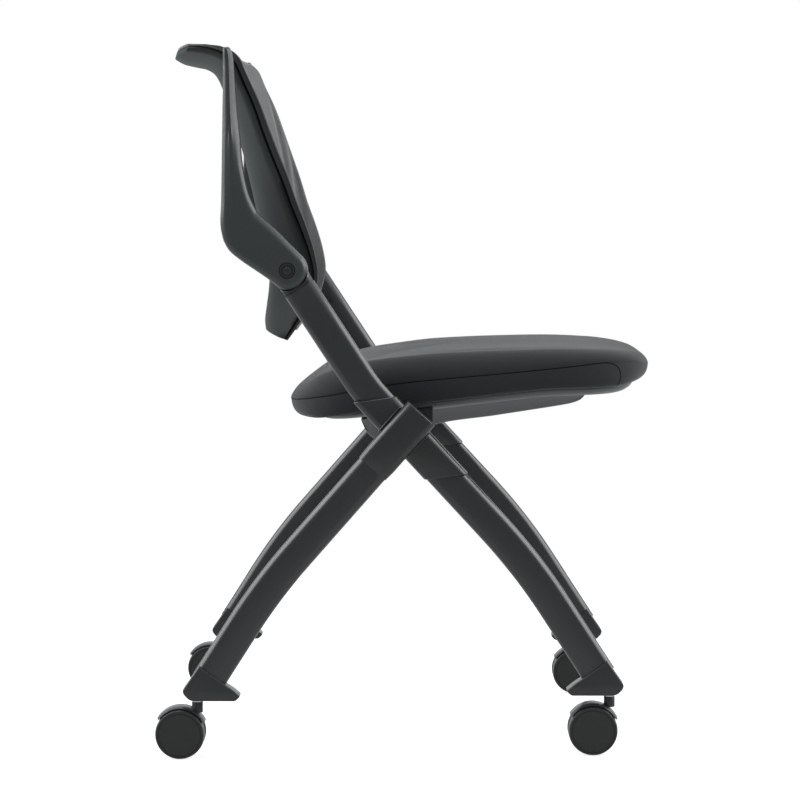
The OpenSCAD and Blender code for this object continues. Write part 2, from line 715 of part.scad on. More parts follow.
// Smooth value of column c at station s, through the table's rows
function row_at(i) = back_shares[min(max(i, 0), len(back_shares) - 1)];
function spline(a, b, c, d, t) =
    b + t * (c - a) / 2 + t * t * (a - 2.5 * b + 2 * c - d / 2) + t * t * t * (1.5 * (b - c) + (d - a) / 2);
function station(i) =
    let (k = floor(i / back_steps), t = i / back_steps - k)
        spline(row_at(k - 1), row_at(k), row_at(k + 1), row_at(k + 2), t);
stations = [for (i = [0 : back_count]) station(i)];
function middle_xz(i) = back_pivot + back_h * [stations[i][0], stations[i][1]];
function edge_xz(i) = back_pivot + back_h * [stations[i][2], stations[i][3]];
function unit(v) = v / norm(v);
function lerp(a, b, t) = a * (1 - t) + b * t;

// Direction towards the front of the back at a station, from its neighbours
function front_dir(i) =
    let (a = max(i - 1, 0), b = min(i + 1, back_count),
         d = unit(lerp(middle_xz(b) - middle_xz(a), edge_xz(b) - edge_xz(a), 0.5)))
        [d.y, -d.x];

// Point of the back at station i, at share v of a layer's half width, trimmed from the full one,
// at a depth in front of the shell's rear face
function back_point(i, v, depth, trim = 0) =
    let (half = stations[i][4] * back_w / 2,
         y = v * (half - trim),
         rear_edge = edge_xz(i) - shell_t * front_dir(i),
         p = lerp(middle_xz(i), rear_edge, pow(y / half, 2)) + depth * front_dir(i))
        [p.x, y, p.y];

// Ring of a layer: over its front from one side to the other and back behind. Shares of the half width.
layer_shares = [-1, -0.97, -0.9, -0.75, -0.55, -0.3, 0, 0.3, 0.55, 0.75, 0.9, 0.97, 1];
module back_layer(rear, front, trim, use_pad = false) {
    n = len(layer_shares);
    function front_depth(i, v) =
        let (mid = rear + stations[i][5] * pad_t,
             rim = rear + stations[i][6] * pad_rim_t,
             soft = pow(1 - pow(abs(v), 3), 0.5))
            use_pad ? lerp(rim, mid, soft) : front;
    function ring(i) = concat(
        [for (v = layer_shares) back_point(i, v, front_depth(i, v), trim)],
        [for (k = [n - 1 : -1 : 0]) back_point(i, layer_shares[k], rear, trim)]
    );
    layer_loft([for (i = [0 : back_count]) ring(i)]);
}

// Bosses on the shell that the tips of the arms are screwed to: places as shares of the back's height from
// its pivot, and inner ends as shares of its half width
arm_boss_r = 6.5;
arm_boss_shares = [[-0.193, 0.626, 0.885], [-0.193, 0.570, 0.74]];
arm_screw_r = 2.4;
arm_screw_hold = 14;
module arm_boss_place(share) {
    translate(xz(back_pivot + back_h * [share.x, share.y])) children();
}
module back_shell() {
    color([0.22, 0.23, 0.24]) difference() {
        union() {
            back_layer(0, shell_t, 0);
            for (side = SIDES, s = arm_boss_shares) arm_boss_place(s)
                rod(side, s.z * back_w / 2, arm_in - seat_gap, arm_boss_r);
        }
        for (side = SIDES, s = arm_boss_shares) arm_boss_place(s)
            rod(side, arm_in - arm_screw_hold, arm_in, arm_screw_r + seat_gap);
    }
}

groove_trim = 3.5;
module pad_insert() {
    color([0.08, 0.08, 0.09])
        back_layer(shell_t + soft_gap, shell_t + insert_t, groove_trim);
}

module back_pad() {
    pad_rear = shell_t + insert_t + soft_gap;
    color([0.1, 0.1, 0.11]) back_layer(pad_rear, 0, 0, true);
}

// Back arm: outline in the side view, as shares of its height from the pivot; rear edge up, front edge down
arm_shares = [
    [-0.011, -0.091], [-0.034, -0.083], [-0.082, -0.046], [-0.140, 0.002], [-0.204, 0.042],
    [-0.260, 0.087], [-0.287, 0.133], [-0.298, 0.178], [-0.302, 0.228], [-0.298, 0.314],
    [-0.294, 0.540], [-0.290, 0.760], [-0.287, 0.830], [-0.285, 0.985], [-0.276, 1],
    [-0.262, 0.997], [-0.242, 0.955], [-0.234, 0.830], [-0.225, 0.715], [-0.212, 0.600],
    [-0.200, 0.470], [-0.174, 0.345], [-0.136, 0.262], [-0.110, 0.236], [-0.070, 0.202],
    [-0.011, 0.147], [0.045, 0.094], [0.068, 0.072],
];
pocket_r = 14;
pocket_h = 8;
bush_t = 2;
arm_tip_t = 18;
module back_arm(side) {
    color([0.2, 0.21, 0.22]) difference() {
        union() {
            intersection() {
                translate(xz(back_pivot)) rotate([90, 0, 0]) translate([0, 0, -side * front_plane])
                    linear_extrude(arm_t, center = true) polygon([for (s = arm_shares) s * arm_h]);
                arm_taper(side);
            }
            translate(xz(back_pivot)) rod(side, tongue_out, arm_out, boss_r);
        }
        translate(xz(back_pivot)) {
            rod(side, arm_in - over, front_plane + side_gap / 2, boss_r + side_gap);
            rod(side, arm_in, arm_out + over, pivot_r + run_gap + bush_t + seat_gap);
            rod(side, arm_out - recess_h, arm_out + over, recess_r);
            rod(side, arm_in, front_plane + side_gap / 2 + pocket_h, pocket_r + seat_gap);
        }
        for (s = arm_boss_shares) arm_boss_place(s)
            rod(side, arm_in - over, arm_in + 3 * arm_screw_r, arm_screw_r + seat_gap);
    }
}
// Wedge that thins the arm from its pivot to its tip, keeping the inner face flat
module arm_taper(side) {
    low = back_pivot.y - arm_h;
    high = back_pivot.y + 2 * arm_h;
    slope = (arm_t - arm_tip_t) / arm_h;
    out = [for (z = [low, back_pivot.y, high]) arm_in + arm_t - slope * max(z - back_pivot.y, 0)];
    rotate([90, 0, 90]) linear_extrude(4 * arm_h, center = true) polygon([
        [side * arm_in, low], [side * out[0], low], [side * out[1], back_pivot.y],
        [side * out[2], high], [side * arm_in, high],
    ]);
}

module pivot_bushes() {
    color([0.8, 0.8, 0.78]) for (side = SIDES) translate(xz(back_pivot)) difference() {
        rod(side, front_plane + side_gap / 2, arm_out - recess_h, pivot_r + run_gap + bush_t);
        rod(side, front_plane, arm_out, pivot_r + run_gap);
    }
}

module torsion_rings() {
    color([0.12, 0.12, 0.13]) for (side = SIDES) translate(xz(back_pivot)) difference() {
        rod(side, front_plane + side_gap / 2, front_plane + side_gap / 2 + pocket_h - seat_gap, pocket_r);
        rod(side, front_plane, arm_out, pivot_r + run_gap + bush_t + seat_gap);
    }
}

module arm_screws() {
    color([0.3, 0.3, 0.31]) for (side = SIDES, s = arm_boss_shares) arm_boss_place(s)
        rod(side, arm_in - arm_screw_hold + seat_gap, arm_in + 2 * arm_screw_r, arm_screw_r);
}

// Casters: the local origin is on the floor under the stem, and the wheels trail towards -X
hood_gap = 1.5;
hood_t = 2.5;
hood_from = 26;
hood_to = 146;
collar_r = 6.5;
collar_gap = 4;
hood_w = web_t + wheel_w;
module caster_housing_shape(top) {
    hood_r = wheel_r + hood_gap;
    difference() {
        union() {
            translate([-trail, 0, wheel_r]) rotate([90, 0, 0]) {
                cylinder(r = wheel_r / 2, h = web_t, center = true);
                rotate([0, 0, hood_from]) rotate_extrude(angle = hood_to - hood_from)
                    translate([0, -web_t / 2]) square([hood_r + hood_t, web_t]);
                rotate([0, 0, hood_from]) rotate_extrude(angle = hood_to - hood_from)
                    translate([hood_r, -hood_w / 2]) square([hood_t, hood_w]);
            }
            translate([0, 0, top - 2 * collar_r]) cylinder(r = collar_r, h = 2 * collar_r);
        }
        translate([0, 0, top - 2 * collar_r - over]) cylinder(r = stem_r + seat_gap, h = 3 * collar_r);
        translate([-trail, 0, wheel_r]) {
            rotate([90, 0, 0]) cylinder(r = axle_r + seat_gap, h = 2 * web_t, center = true);
            for (out = SIDES) rod(out, web_t / 2, hood_w, hood_r);
        }
    }
}

// One wheel: rim, slim ring in its outer face and a recess on its inner side, on a blind bore
ring_w = 1.2;
ring_depth = 0.8;
ring_inset = 3;
wheel_edge = 1.5;
hub_r = 8;
rim_t = 5;
wheel_floor = 5;
module wheel_shape(out) {
    y0 = web_t / 2 + side_gap;
    y1 = y0 + wheel_w;
    translate([-trail, 0, wheel_r]) rotate([-out * 90, 0, 0]) rotate_extrude() difference() {
        polygon([
            [0, y0], [hub_r, y0], [hub_r, y1 - wheel_floor], [wheel_r - rim_t, y1 - wheel_floor],
            [wheel_r - rim_t, y0], [wheel_r - wheel_edge, y0], [wheel_r, y0 + wheel_edge],
            [wheel_r, y1 - wheel_edge], [wheel_r - wheel_edge, y1],
            [wheel_r - ring_inset, y1], [wheel_r - ring_inset, y1 - ring_depth],
            [wheel_r - ring_inset - ring_w, y1 - ring_depth], [wheel_r - ring_inset - ring_w, y1], [0, y1],
        ]);
        translate([0, y0 - over]) square([axle_r + run_gap, wheel_w - wheel_floor / 2 + over]);
    }
}

// Corner of the chair where a caster stands
function stem_place(fore, side) =
    fore > 0 ? [front_stem_x, side * front_plane, 0] : [rear_stem_x, side * rear_plane, 0];
function collar_top(fore) = (fore > 0 ? front_foot_z : rear_foot_z) - collar_gap;

module caster_stem(fore, side) {
    z0 = collar_top(fore) - 1.5 * collar_r;
    top = collar_top(fore) + collar_gap + socket_depth - side_gap;
    color([0.75, 0.76, 0.78]) translate(stem_place(fore, side)) translate([0, 0, z0])
        cylinder(r = stem_r, h = top - z0);
}
module caster_housing(fore, side) {
    color([0.16, 0.17, 0.18]) translate(stem_place(fore, side)) caster_housing_shape(collar_top(fore));
}
module caster_axle(fore, side) {
    color([0.7, 0.7, 0.72]) translate(stem_place(fore, side)) translate([-trail, 0, wheel_r])
        rotate([90, 0, 0]) cylinder(r = axle_r, h = web_t + 2 * (wheel_w - wheel_floor), center = true);
}
module caster_wheel(fore, side, out) {
    color([0.15, 0.15, 0.16]) translate(stem_place(fore, side)) wheel_shape(side * out);
}

front_tube(LEFT);  // left_front_tube
front_tube(RIGHT);  // right_front_tube
rear_leg(LEFT);  // left_rear_leg
rear_leg(RIGHT);  // right_rear_leg
junction_block(LEFT);  // left_junction_block
junction_block(RIGHT);  // right_junction_block
leg_cap(LEFT);  // left_leg_cap
leg_cap(RIGHT);  // right_leg_cap
cross_tube();
cross_tube_plugs();
junction_studs();
block_screws();
foot(1, LEFT);  // front_left_foot
foot(1, RIGHT);  // front_right_foot
foot(-1, LEFT);  // rear_left_foot
foot(-1, RIGHT);  // rear_right_foot
back_fitting(LEFT);  // left_back_fitting
back_fitting(RIGHT);  // right_back_fitting
fitting_screws();
pivot_bolts();
seat_stops();
stop_bumpers();
seat_cushion();
seat_board();
seat_pan();
seat_carrier();
hinge_bushes();
seat_screws();
back_arm(LEFT);  // left_back_arm
back_arm(RIGHT);  // right_back_arm
pivot_bushes();
torsion_rings();
back_shell();
back_pad();
pad_insert();
arm_screws();
caster_stem(1, LEFT);  // front_left_caster_stem
caster_housing(1, LEFT);  // front_left_caster_housing
caster_axle(1, LEFT);  // front_left_caster_axle
caster_wheel(1, LEFT, -1);  // front_left_inner_wheel
caster_wheel(1, LEFT, 1);  // front_left_outer_wheel
caster_stem(1, RIGHT);  // front_right_caster_stem
caster_housing(1, RIGHT);  // front_right_caster_housing
caster_axle(1, RIGHT);  // front_right_caster_axle
caster_wheel(1, RIGHT, -1);  // front_right_inner_wheel
caster_wheel(1, RIGHT, 1);  // front_right_outer_wheel
caster_stem(-1, LEFT);  // rear_left_caster_stem
caster_housing(-1, LEFT);  // rear_left_caster_housing
caster_axle(-1, LEFT);  // rear_left_caster_axle
caster_wheel(-1, LEFT, -1);  // rear_left_inner_wheel
caster_wheel(-1, LEFT, 1);  // rear_left_outer_wheel
caster_stem(-1, RIGHT);  // rear_right_caster_stem
caster_housing(-1, RIGHT);  // rear_right_caster_housing
caster_axle(-1, RIGHT);  // rear_right_caster_axle
caster_wheel(-1, RIGHT, -1);  // rear_right_inner_wheel
caster_wheel(-1, RIGHT, 1);  // rear_right_outer_wheel
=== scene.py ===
"""Nesting chair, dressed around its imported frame.

Metres. +X is the way the sitter faces, +Z is up, and Y = 0 is the plane of symmetry, as in the
frame.
"""
import json
import logging
import math
from collections.abc import Callable, Iterable, Sequence
from dataclasses import dataclass
from enum import Enum
from functools import cached_property

import bmesh
import bpy
from bmesh.types import BMEdge, BMesh, BMFace, BMVert
from mathutils import Matrix, Vector
from mathutils.bvhtree import BVHTree


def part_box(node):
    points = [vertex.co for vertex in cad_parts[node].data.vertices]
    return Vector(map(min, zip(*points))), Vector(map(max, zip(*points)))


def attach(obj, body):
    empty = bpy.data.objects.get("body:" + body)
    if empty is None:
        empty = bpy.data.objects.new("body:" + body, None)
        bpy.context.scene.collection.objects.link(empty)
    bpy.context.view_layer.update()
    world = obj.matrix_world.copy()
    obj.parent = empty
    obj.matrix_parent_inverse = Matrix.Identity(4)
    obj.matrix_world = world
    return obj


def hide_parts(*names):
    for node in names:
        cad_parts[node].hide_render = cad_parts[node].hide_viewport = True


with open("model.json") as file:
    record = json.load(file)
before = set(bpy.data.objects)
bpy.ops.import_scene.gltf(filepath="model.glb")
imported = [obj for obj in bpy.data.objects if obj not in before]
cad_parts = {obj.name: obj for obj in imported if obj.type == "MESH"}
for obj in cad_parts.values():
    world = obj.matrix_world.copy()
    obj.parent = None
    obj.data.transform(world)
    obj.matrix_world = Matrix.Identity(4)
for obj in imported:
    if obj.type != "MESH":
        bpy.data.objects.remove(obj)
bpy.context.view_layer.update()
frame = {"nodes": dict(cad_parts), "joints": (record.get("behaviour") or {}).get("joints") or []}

LOG = logging.getLogger("nesting_chair")
EPS = 1e-6
PRESSURE = 4.0
CLOTH_FRAMES = 20
FULL_TURN = 2 * math.pi

Point = tuple[float, float]
Colour = tuple[float, float, float]
# The rounding of an edge: its width, and its segments
Rounding = tuple[float, int]


class Side(Enum):
    """A side of the chair, by the sitter's hand, with its sign on Y."""

    LEFT = 1
    RIGHT = -1

    @property
    def word(self) -> str:
        """The side's name as the frame's nodes spell it."""
        return self.name.lower()


class End(Enum):
    """An end of the chair, with its sign on X."""

    FRONT = 1
    REAR = -1

    @property
    def word(self) -> str:
        """The end's name as the frame's nodes spell it."""
        return self.name.lower()


class Edges(Enum):
    """A kind of piece, with the angle in degrees from which its edges are shaded sharp."""

    TURNED = 30
    MOULDED = 38
    SOFT = 50
    CLOTH = 75


def joint_place(name: str) -> Vector:
    """Finds where a joint of the frame lies.

    Args:
        name: the joint's name in the record.

    Returns:
        A point on its axis, in metres.
    """
    return Vector(next(j["pos_m"] for j in frame["joints"] if j["name"] == name))


def pivot_of(name: str) -> Vector:
    """Finds a joint's place (x, z) in the side view."""
    return joint_place(name).xz


# Finishes


class Graph:
    """The shader nodes of a material or of the world, added and linked by short calls."""

    def __init__(self, owner: bpy.types.Material | bpy.types.World) -> None:
        """Starts an empty graph.

        Args:
            owner: the material or the world that the graph shades.
        """
        owner.use_nodes = True
        self.owner = owner
        self.tree = owner.node_tree
        self.tree.nodes.clear()
        kind = "World" if isinstance(owner, bpy.types.World) else "Material"
        self.output = self.tree.nodes.new(f"ShaderNodeOutput{kind}")

    def add(self, kind: str, values: dict[str | int, object] | None = None,
            **settings: object) -> bpy.types.Node:
        """Adds a node.

        Args:
            kind: the node's type, without its ShaderNode prefix.
            values: socket names with a number, a colour or the output socket that feeds them.
            **settings: properties of the node itself.

        Returns:
            The new node.
        """
        node = self.tree.nodes.new(f"ShaderNode{kind}")
        for key, value in settings.items():
            setattr(node, key, value)
        for key, value in (values or {}).items():
            if isinstance(value, bpy.types.NodeSocket):
                self.tree.links.new(value, node.inputs[key])
            else:
                node.inputs[key].default_value = value
        return node

    def calc(self, operation: str, *values: float | bpy.types.NodeSocket) -> bpy.types.NodeSocket:
        """Adds a Math node and returns its result."""
        return self.add("Math", dict(enumerate(values)), operation=operation).outputs[0]

    def finish(self, shader: bpy.types.NodeSocket) -> bpy.types.Material | bpy.types.World:
        """Links the surface shader and returns the graph's owner."""
        self.tree.links.new(shader, self.output.inputs["Surface"])
        return self.owner


@dataclass(frozen=True)
class Finish:
    """A surface finish: a base colour with a soft mottle, and a grain in gloss and relief."""

    name: str
    slot: str
    colour: Colour
    roughness: float = 0.45
    mottle: float = 0.12
    mottle_scale: float = 14.0
    grain_scale: float = 900.0
    grain_depth: float = 0.00004
    gloss_spread: float = 0.06
    metallic: float = 0.0
    specular: float = 0.5
    coat: float = 0.0
    coat_roughness: float = 0.14
    sheen: float = 0.0
    sheen_roughness: float = 0.35

    def grain(self, graph: Graph) -> tuple[bpy.types.NodeSocket, bpy.types.NodeSocket]:
        """Adds the fine pattern.

        Args:
            graph: the material in hand.

        Returns:
            The pattern's height from 0 to 1, and the coordinates that it lies on.
        """
        place = graph.add("TexCoord").outputs["Object"]
        noise = graph.add("TexNoise", {"Vector": place, "Scale": self.grain_scale, "Detail": 2.0})
        return noise.outputs["Fac"], place

    def material(self) -> bpy.types.Material:
        """Builds the finish once and returns its material."""
        known = bpy.data.materials.get(self.name)
        if known:
            return known
        graph = Graph(bpy.data.materials.new(self.name))
        height, place = self.grain(graph)
        cloud = graph.add("TexNoise", {"Vector": place, "Scale": self.mottle_scale,
                                       "Detail": 3.0}).outputs["Fac"]
        dark, light = ((*(c * (1 + sign * self.mottle) for c in self.colour), 1.0)
                       for sign in (-1, 1))
        tint = graph.add("Mix", {"Factor": cloud, "A": dark, "B": light}, data_type="RGBA")
        gloss = graph.add("MapRange", {"Value": cloud, "To Min": self.roughness - self.gloss_spread,
                                       "To Max": self.roughness + self.gloss_spread})
        bump = graph.add("Bump", {"Height": height, "Distance": self.grain_depth, "Strength": 1.0})
        shader = graph.add("BsdfPrincipled", {
            "Base Color": tint.outputs[2],
            "Roughness": gloss.outputs["Result"],
            "Metallic": self.metallic,
            "Specular IOR Level": self.specular,
            "Coat Weight": self.coat,
            "Coat Roughness": self.coat_roughness,
            "Sheen Weight": self.sheen,
            "Sheen Roughness": self.sheen_roughness,
            "Normal": bump.outputs["Normal"],
        })
        return graph.finish(shader.outputs["BSDF"])


@dataclass(frozen=True)
class Weave(Finish):
    """Cloth with warp and weft on the piece's own map, given in metres."""

    thread: float = 0.0011
    fibres: float = 2.6
    relief: float = 0.35
    map_name: str = "cloth"

    def grain(self, graph: Graph) -> tuple[bpy.types.NodeSocket, bpy.types.NodeSocket]:
        """Adds threads over and under each other.

        Args:
            graph: the material in hand.

        Returns:
            The threads' height from 0 to 1, and the piece's cloth map.
        """
        place = graph.add("UVMap", uv_map=self.map_name).outputs["UV"]
        axes = graph.add("SeparateXYZ", {"Vector": place}).outputs
        waves = [graph.calc("SINE", graph.calc("MULTIPLY", axes[axis], FULL_TURN / self.thread))
                 for axis in ("X", "Y")]
        fibre = graph.add("TexNoise", {"Vector": place, "Scale": self.fibres / self.thread,
                                       "Detail": 3.0}).outputs["Fac"]
        return graph.calc("MULTIPLY_ADD", graph.calc("MULTIPLY", *waves), self.relief, fibre), place


@dataclass(frozen=True)
class Plywood(Finish):
    """Bent plywood with its grain along the seat."""

    fibres: tuple[float, float, float] = (6.0, 160.0, 400.0)

    def grain(self, graph: Graph) -> tuple[bpy.types.NodeSocket, bpy.types.NodeSocket]:
        """Adds long fibres: noise drawn out along X.

        Args:
            graph: the material in hand.

        Returns:
            The fibres' height from 0 to 1, and the coordinates that they lie on.
        """
        place = graph.add("TexCoord").outputs["Object"]
        drawn = graph.add("Mapping", {"Vector": place, "Scale": self.fibres}).outputs["Vector"]
        noise = graph.add("TexNoise", {"Vector": drawn, "Scale": 1.0, "Detail": 4.0})
        return noise.outputs["Fac"], drawn


TUBE_PAINT = Finish("tube_paint", "frame_metal", (0.0180, 0.0194, 0.0206), 0.34, coat=0.30,
                    grain_scale=420, grain_depth=0.00005)
MOULDED = Finish("moulded_charcoal", "frame_plastic", (0.0165, 0.0175, 0.0185), 0.34, coat=0.20,
                 grain_scale=1400)
# Arms: painted light. This is the same charcoal plastic as the moulded parts, painted lighter to
# stand in for the light that the arms' faces and ridge catch.
ARM_PAINTED_LIGHT = Finish("arm_charcoal", "frame_plastic", (0.0380, 0.0422, 0.0440), 0.34, grain_scale=1400)
SHELL = Finish("shell_charcoal", "shell_plastic", (0.0060, 0.0074, 0.0080), 0.50, specular=0.10,
               grain_scale=1600)
# Pan and carrier: painted reflection. Their charcoal plastic is painted much lighter to stand in
# for the white floor that their undersides reflect.
PAN_PAINTED_FLOOR_REFLECTION = Finish("pan_charcoal", "shell_plastic", (0.1050, 0.1110, 0.1140), 0.42, grain_scale=1600)
SEAT_CLOTH = Weave("seat_cloth", "seat_fabric", (0.0315, 0.0320, 0.0335), 0.85, specular=0.25,
                   sheen=0.26, grain_depth=0.00012)
SEAM = Finish("seam_thread", "seat_fabric", (0.0025, 0.0025, 0.0027), 0.9, specular=0.1,
              grain_scale=2500, grain_depth=0.00010)
BACK_CLOTH = Weave("back_cloth", "back_fabric", (0.0225, 0.0238, 0.0246), 0.80, specular=0.25,
                   sheen=0.90, grain_depth=0.00010, thread=0.0009)
# Collar: partly its own dark plastic and partly painted shade. It is darker than the moulded
# plastic to stand in for the shadow under the arm's boss.
COLLAR_BLACK_AND_SHADE = Finish("collar_black", "frame_plastic", (0.0050, 0.0053, 0.0056), 0.5)
# Insert board: painted shade. It is near black so that the gap between the shell and the edging
# reads as the shadow in the groove.
INSERT_PAINTED_SHADE = Finish("insert_black", "insert_board", (0.003, 0.003, 0.0035), 0.7, specular=0.2)
EDGING = Finish("edging_charcoal", "insert_board", (0.0200, 0.0215, 0.0225), 0.5)
WHEEL = Finish("wheel_black", "wheel_plastic", (0.0100, 0.0103, 0.0108), 0.36, grain_scale=1100)
HOOD = Finish("hood_black", "caster_plastic", (0.0220, 0.0230, 0.0250), 0.28, grain_scale=800,
              grain_depth=0.00001)
STEEL = Finish("turned_steel", "bright_steel", (0.62, 0.62, 0.64), 0.24, metallic=1.0,
               grain_scale=1500, grain_depth=0.00001)
DARK_STEEL = Finish("black_screws", "black_steel", (0.05, 0.05, 0.053), 0.34, metallic=0.7,
                    grain_scale=1500, grain_depth=0.00001)
NYLON = Finish("bush_nylon", "bush_nylon", (0.70, 0.70, 0.67), 0.45)
RUBBER = Finish("rubber", "rubber", (0.018, 0.018, 0.018), 0.78, grain_scale=700)
PLY = Plywood("seat_plywood", "plywood", (0.50, 0.36, 0.22), 0.6, mottle=0.25, mottle_scale=1.0,
              grain_depth=0.0001)


# Mesh tools


def edges_among(verts: Iterable[BMVert]) -> list[BMEdge]:
    """Lists the edges whose two ends are both in verts, in the order of verts."""
    chosen = dict.fromkeys(verts)
    return list(dict.fromkeys(e for v in chosen for e in v.link_edges if e.other_vert(v) in chosen))


def fresh_verts(geom: Iterable[BMVert | BMEdge | BMFace]) -> list[BMVert]:
    """Lists the vertices of what an operator made."""
    return [g for g in geom if isinstance(g, BMVert)]


def extruded(bm: BMesh, ring: Sequence[BMVert]) -> list[BMVert]:
    """Extrudes a ring in place.

    Args:
        bm: the mesh in hand.
        ring: the ring's vertices.

    Returns:
        The new ring's vertices, in the same order round it.
    """
    made = fresh_verts(bmesh.ops.extrude_edge_only(bm, edges=edges_among(ring))["geom"])
    fresh = {tuple(v.co): v for v in made}
    return [fresh[tuple(v.co)] for v in ring]


def rounded_ring(bm: BMesh, width: float, thickness: float, radius: float,
                 segments: int = 32) -> list[BMVert]:
    """Makes a rounded rectangle in the local XY plane, from a circle drawn apart.

    Args:
        bm: the mesh in hand.
        width: its size along X.
        thickness: its size along Y.
        radius: the rounding of its corners.
        segments: points round it, a multiple of four.

    Returns:
        The ring's vertices.
    """
    turn = Matrix.Rotation(math.pi / segments, 4, "Z")
    ring = bmesh.ops.create_circle(bm, cap_ends=False, segments=segments, radius=radius,
                                   matrix=turn)["verts"]
    for axis, reach in ((0, width / 2 - radius), (1, thickness / 2 - radius)):
        for sign in (-1, 1):
            shift = Vector((0, 0, 0))
            shift[axis] = sign * reach
            bmesh.ops.translate(bm, verts=[v for v in ring if v.co[axis] * sign > 0], vec=shift)
    return ring


def sweep(bm: BMesh, ring: list[BMVert],
          stations: Sequence[Matrix]) -> tuple[list[BMVert], list[BMVert]]:
    """Extrudes a ring through stations.

    Args:
        bm: the mesh in hand.
        ring: vertices in the local XY plane.
        stations: where the ring goes, in order.

    Returns:
        The first and the last ring.
    """
    bmesh.ops.transform(bm, matrix=stations[0], verts=ring)
    first = ring
    edges = edges_among(ring)
    for here, there in zip(stations, stations[1:]):
        ring = fresh_verts(bmesh.ops.extrude_edge_only(bm, edges=edges)["geom"])
        edges = edges_among(ring)
        bmesh.ops.transform(bm, matrix=there @ here.inverted(), verts=ring)
    return first, ring


def close_ring(bm: BMesh, ring: list[BMVert]) -> None:
    """Fills a ring with one face."""
    bmesh.ops.edgeloop_fill(bm, edges=edges_among(ring))


def bridge(bm: BMesh, one: list[BMVert], other: list[BMVert]) -> None:
    """Joins two rings of equally many points with faces."""
    bmesh.ops.bridge_loops(bm, edges=edges_among(one) + edges_among(other))


def bevel(bm: BMesh, edges: Iterable[BMEdge], width: float, segments: int) -> None:
    """Rounds edges.

    Args:
        bm: the mesh in hand.
        edges: the edges.
        width: the rounding's width, the same for each.
        segments: its segments.
    """
    bmesh.ops.bevel(bm, geom=list(edges), offset=width, offset_type="OFFSET", segments=segments,
                    profile=0.5, affect="EDGES", clamp_overlap=True, material=-1)


def outline_solid(bm: BMesh, outline: Sequence[Point], y_from: float, y_to: float) -> BMFace:
    """Extrudes an outline of the side view across the chair.

    Args:
        bm: the mesh in hand.
        outline: points (x, z) in order.
        y_from: the outline's own plane.
        y_to: the plane that it is drawn to.

    Returns:
        The face at y_from.
    """
    near = bm.faces.new([bm.verts.new((x, y_from, z)) for x, z in outline])
    made = bmesh.ops.extrude_face_region(bm, geom=[near], use_keep_orig=True)["geom"]
    bmesh.ops.translate(bm, verts=fresh_verts(made), vec=(0, y_to - y_from, 0))
    return near


def lathe(bm: BMesh, profile: Sequence[Point], centre: Vector, steps: int = 64,
          angle: float = FULL_TURN, start: float = 0.0) -> None:
    """Turns a profile round an axis along Y.

    Args:
        bm: the mesh in hand.
        profile: points (radius, y) in order, y measured from the centre.
        centre: a point of the axis.
        steps: steps of the turn.
        angle: how far it turns.
        start: the angle at which it starts, from +X towards +Z.
    """
    full = angle > FULL_TURN - EPS
    verts = [bm.verts.new(centre + Vector((r * math.cos(start), y, r * math.sin(start))))
             for r, y in profile]
    onward = verts[1:] if full else verts[1:] + verts[:1]
    edges = [bm.edges.new(pair) for pair in zip(verts, onward)]
    made = bmesh.ops.spin(bm, geom=verts + edges, cent=centre, axis=(0, -1, 0), angle=angle,
                          steps=steps, use_merge=full, use_duplicate=False)
    if not full:
        for ring in (verts, fresh_verts(made["geom_last"])):
            bm.faces.new(ring)
    bmesh.ops.remove_doubles(bm, verts=list(bm.verts), dist=EPS)


def loft(bm: BMesh,
         sections: Sequence[Sequence[Vector]]) -> tuple[list[BMVert], list[BMVert]]:
    """Extrudes a closed ring through sections that have equally many points.

    Args:
        bm: the mesh in hand.
        sections: each ring's points, in the same order round it.

    Returns:
        The first and the last ring, in that order round it.
    """
    ring = [bm.verts.new(p) for p in sections[0]]
    for a, b in zip(ring, ring[1:] + ring[:1]):
        bm.edges.new((a, b))
    first = ring
    for section in sections[1:]:
        ring = extruded(bm, ring)
        for v, p in zip(ring, section):
            v.co = p
    return first, ring


def wire_stations(points: Sequence[Vector]) -> list[Matrix]:
    """Stands a section square on each point of a path in space, with no twist.

    Args:
        points: the path.

    Returns:
        The matrices, with their Z along the path.
    """
    out = []
    turn = None
    for i, p in enumerate(points):
        along = (points[min(i + 1, len(points) - 1)] - points[max(i - 1, 0)]).normalized()
        if turn is None:
            turn = along.to_track_quat("Z", "Y")
        else:
            turn = (turn @ Vector((0, 0, 1))).rotation_difference(along) @ turn
        out.append(Matrix.Translation(p) @ turn.to_matrix().to_4x4())
    return out


def resampled(points: Sequence[Point], count: int) -> list[Vector]:
    """Places points at equal steps along a line of the side view.

    Args:
        points: the line.
        count: how many steps it gets.

    Returns:
        count + 1 points, both ends included.
    """
    line = [Vector(p) for p in points]
    runs = [0.0]
    for a, b in zip(line, line[1:]):
        runs.append(runs[-1] + (b - a).length)
    out = []
    k = 0
    for i in range(count + 1):
        goal = runs[-1] * i / count
        while k < len(line) - 2 and runs[k + 1] < goal:
            k += 1
        span = runs[k + 1] - runs[k]
        out.append(line[k].lerp(line[k + 1], (goal - runs[k]) / span if span else 0.0))
    return out


def arc(centre: Point, radius: float, start: float, end: float, steps: int) -> list[Point]:
    """Lists points on an arc, angles in degrees from +X towards +Z, ends included."""
    turns = [math.radians(start + (end - start) * i / steps) for i in range(steps + 1)]
    return [(centre[0] + radius * math.cos(t), centre[1] + radius * math.sin(t)) for t in turns]


def fade(value: float, start: float, end: float) -> float:
    """Goes from 0 at start to 1 at end, and stays level beyond them."""
    return min(max((value - start) / (end - start), 0.0), 1.0)


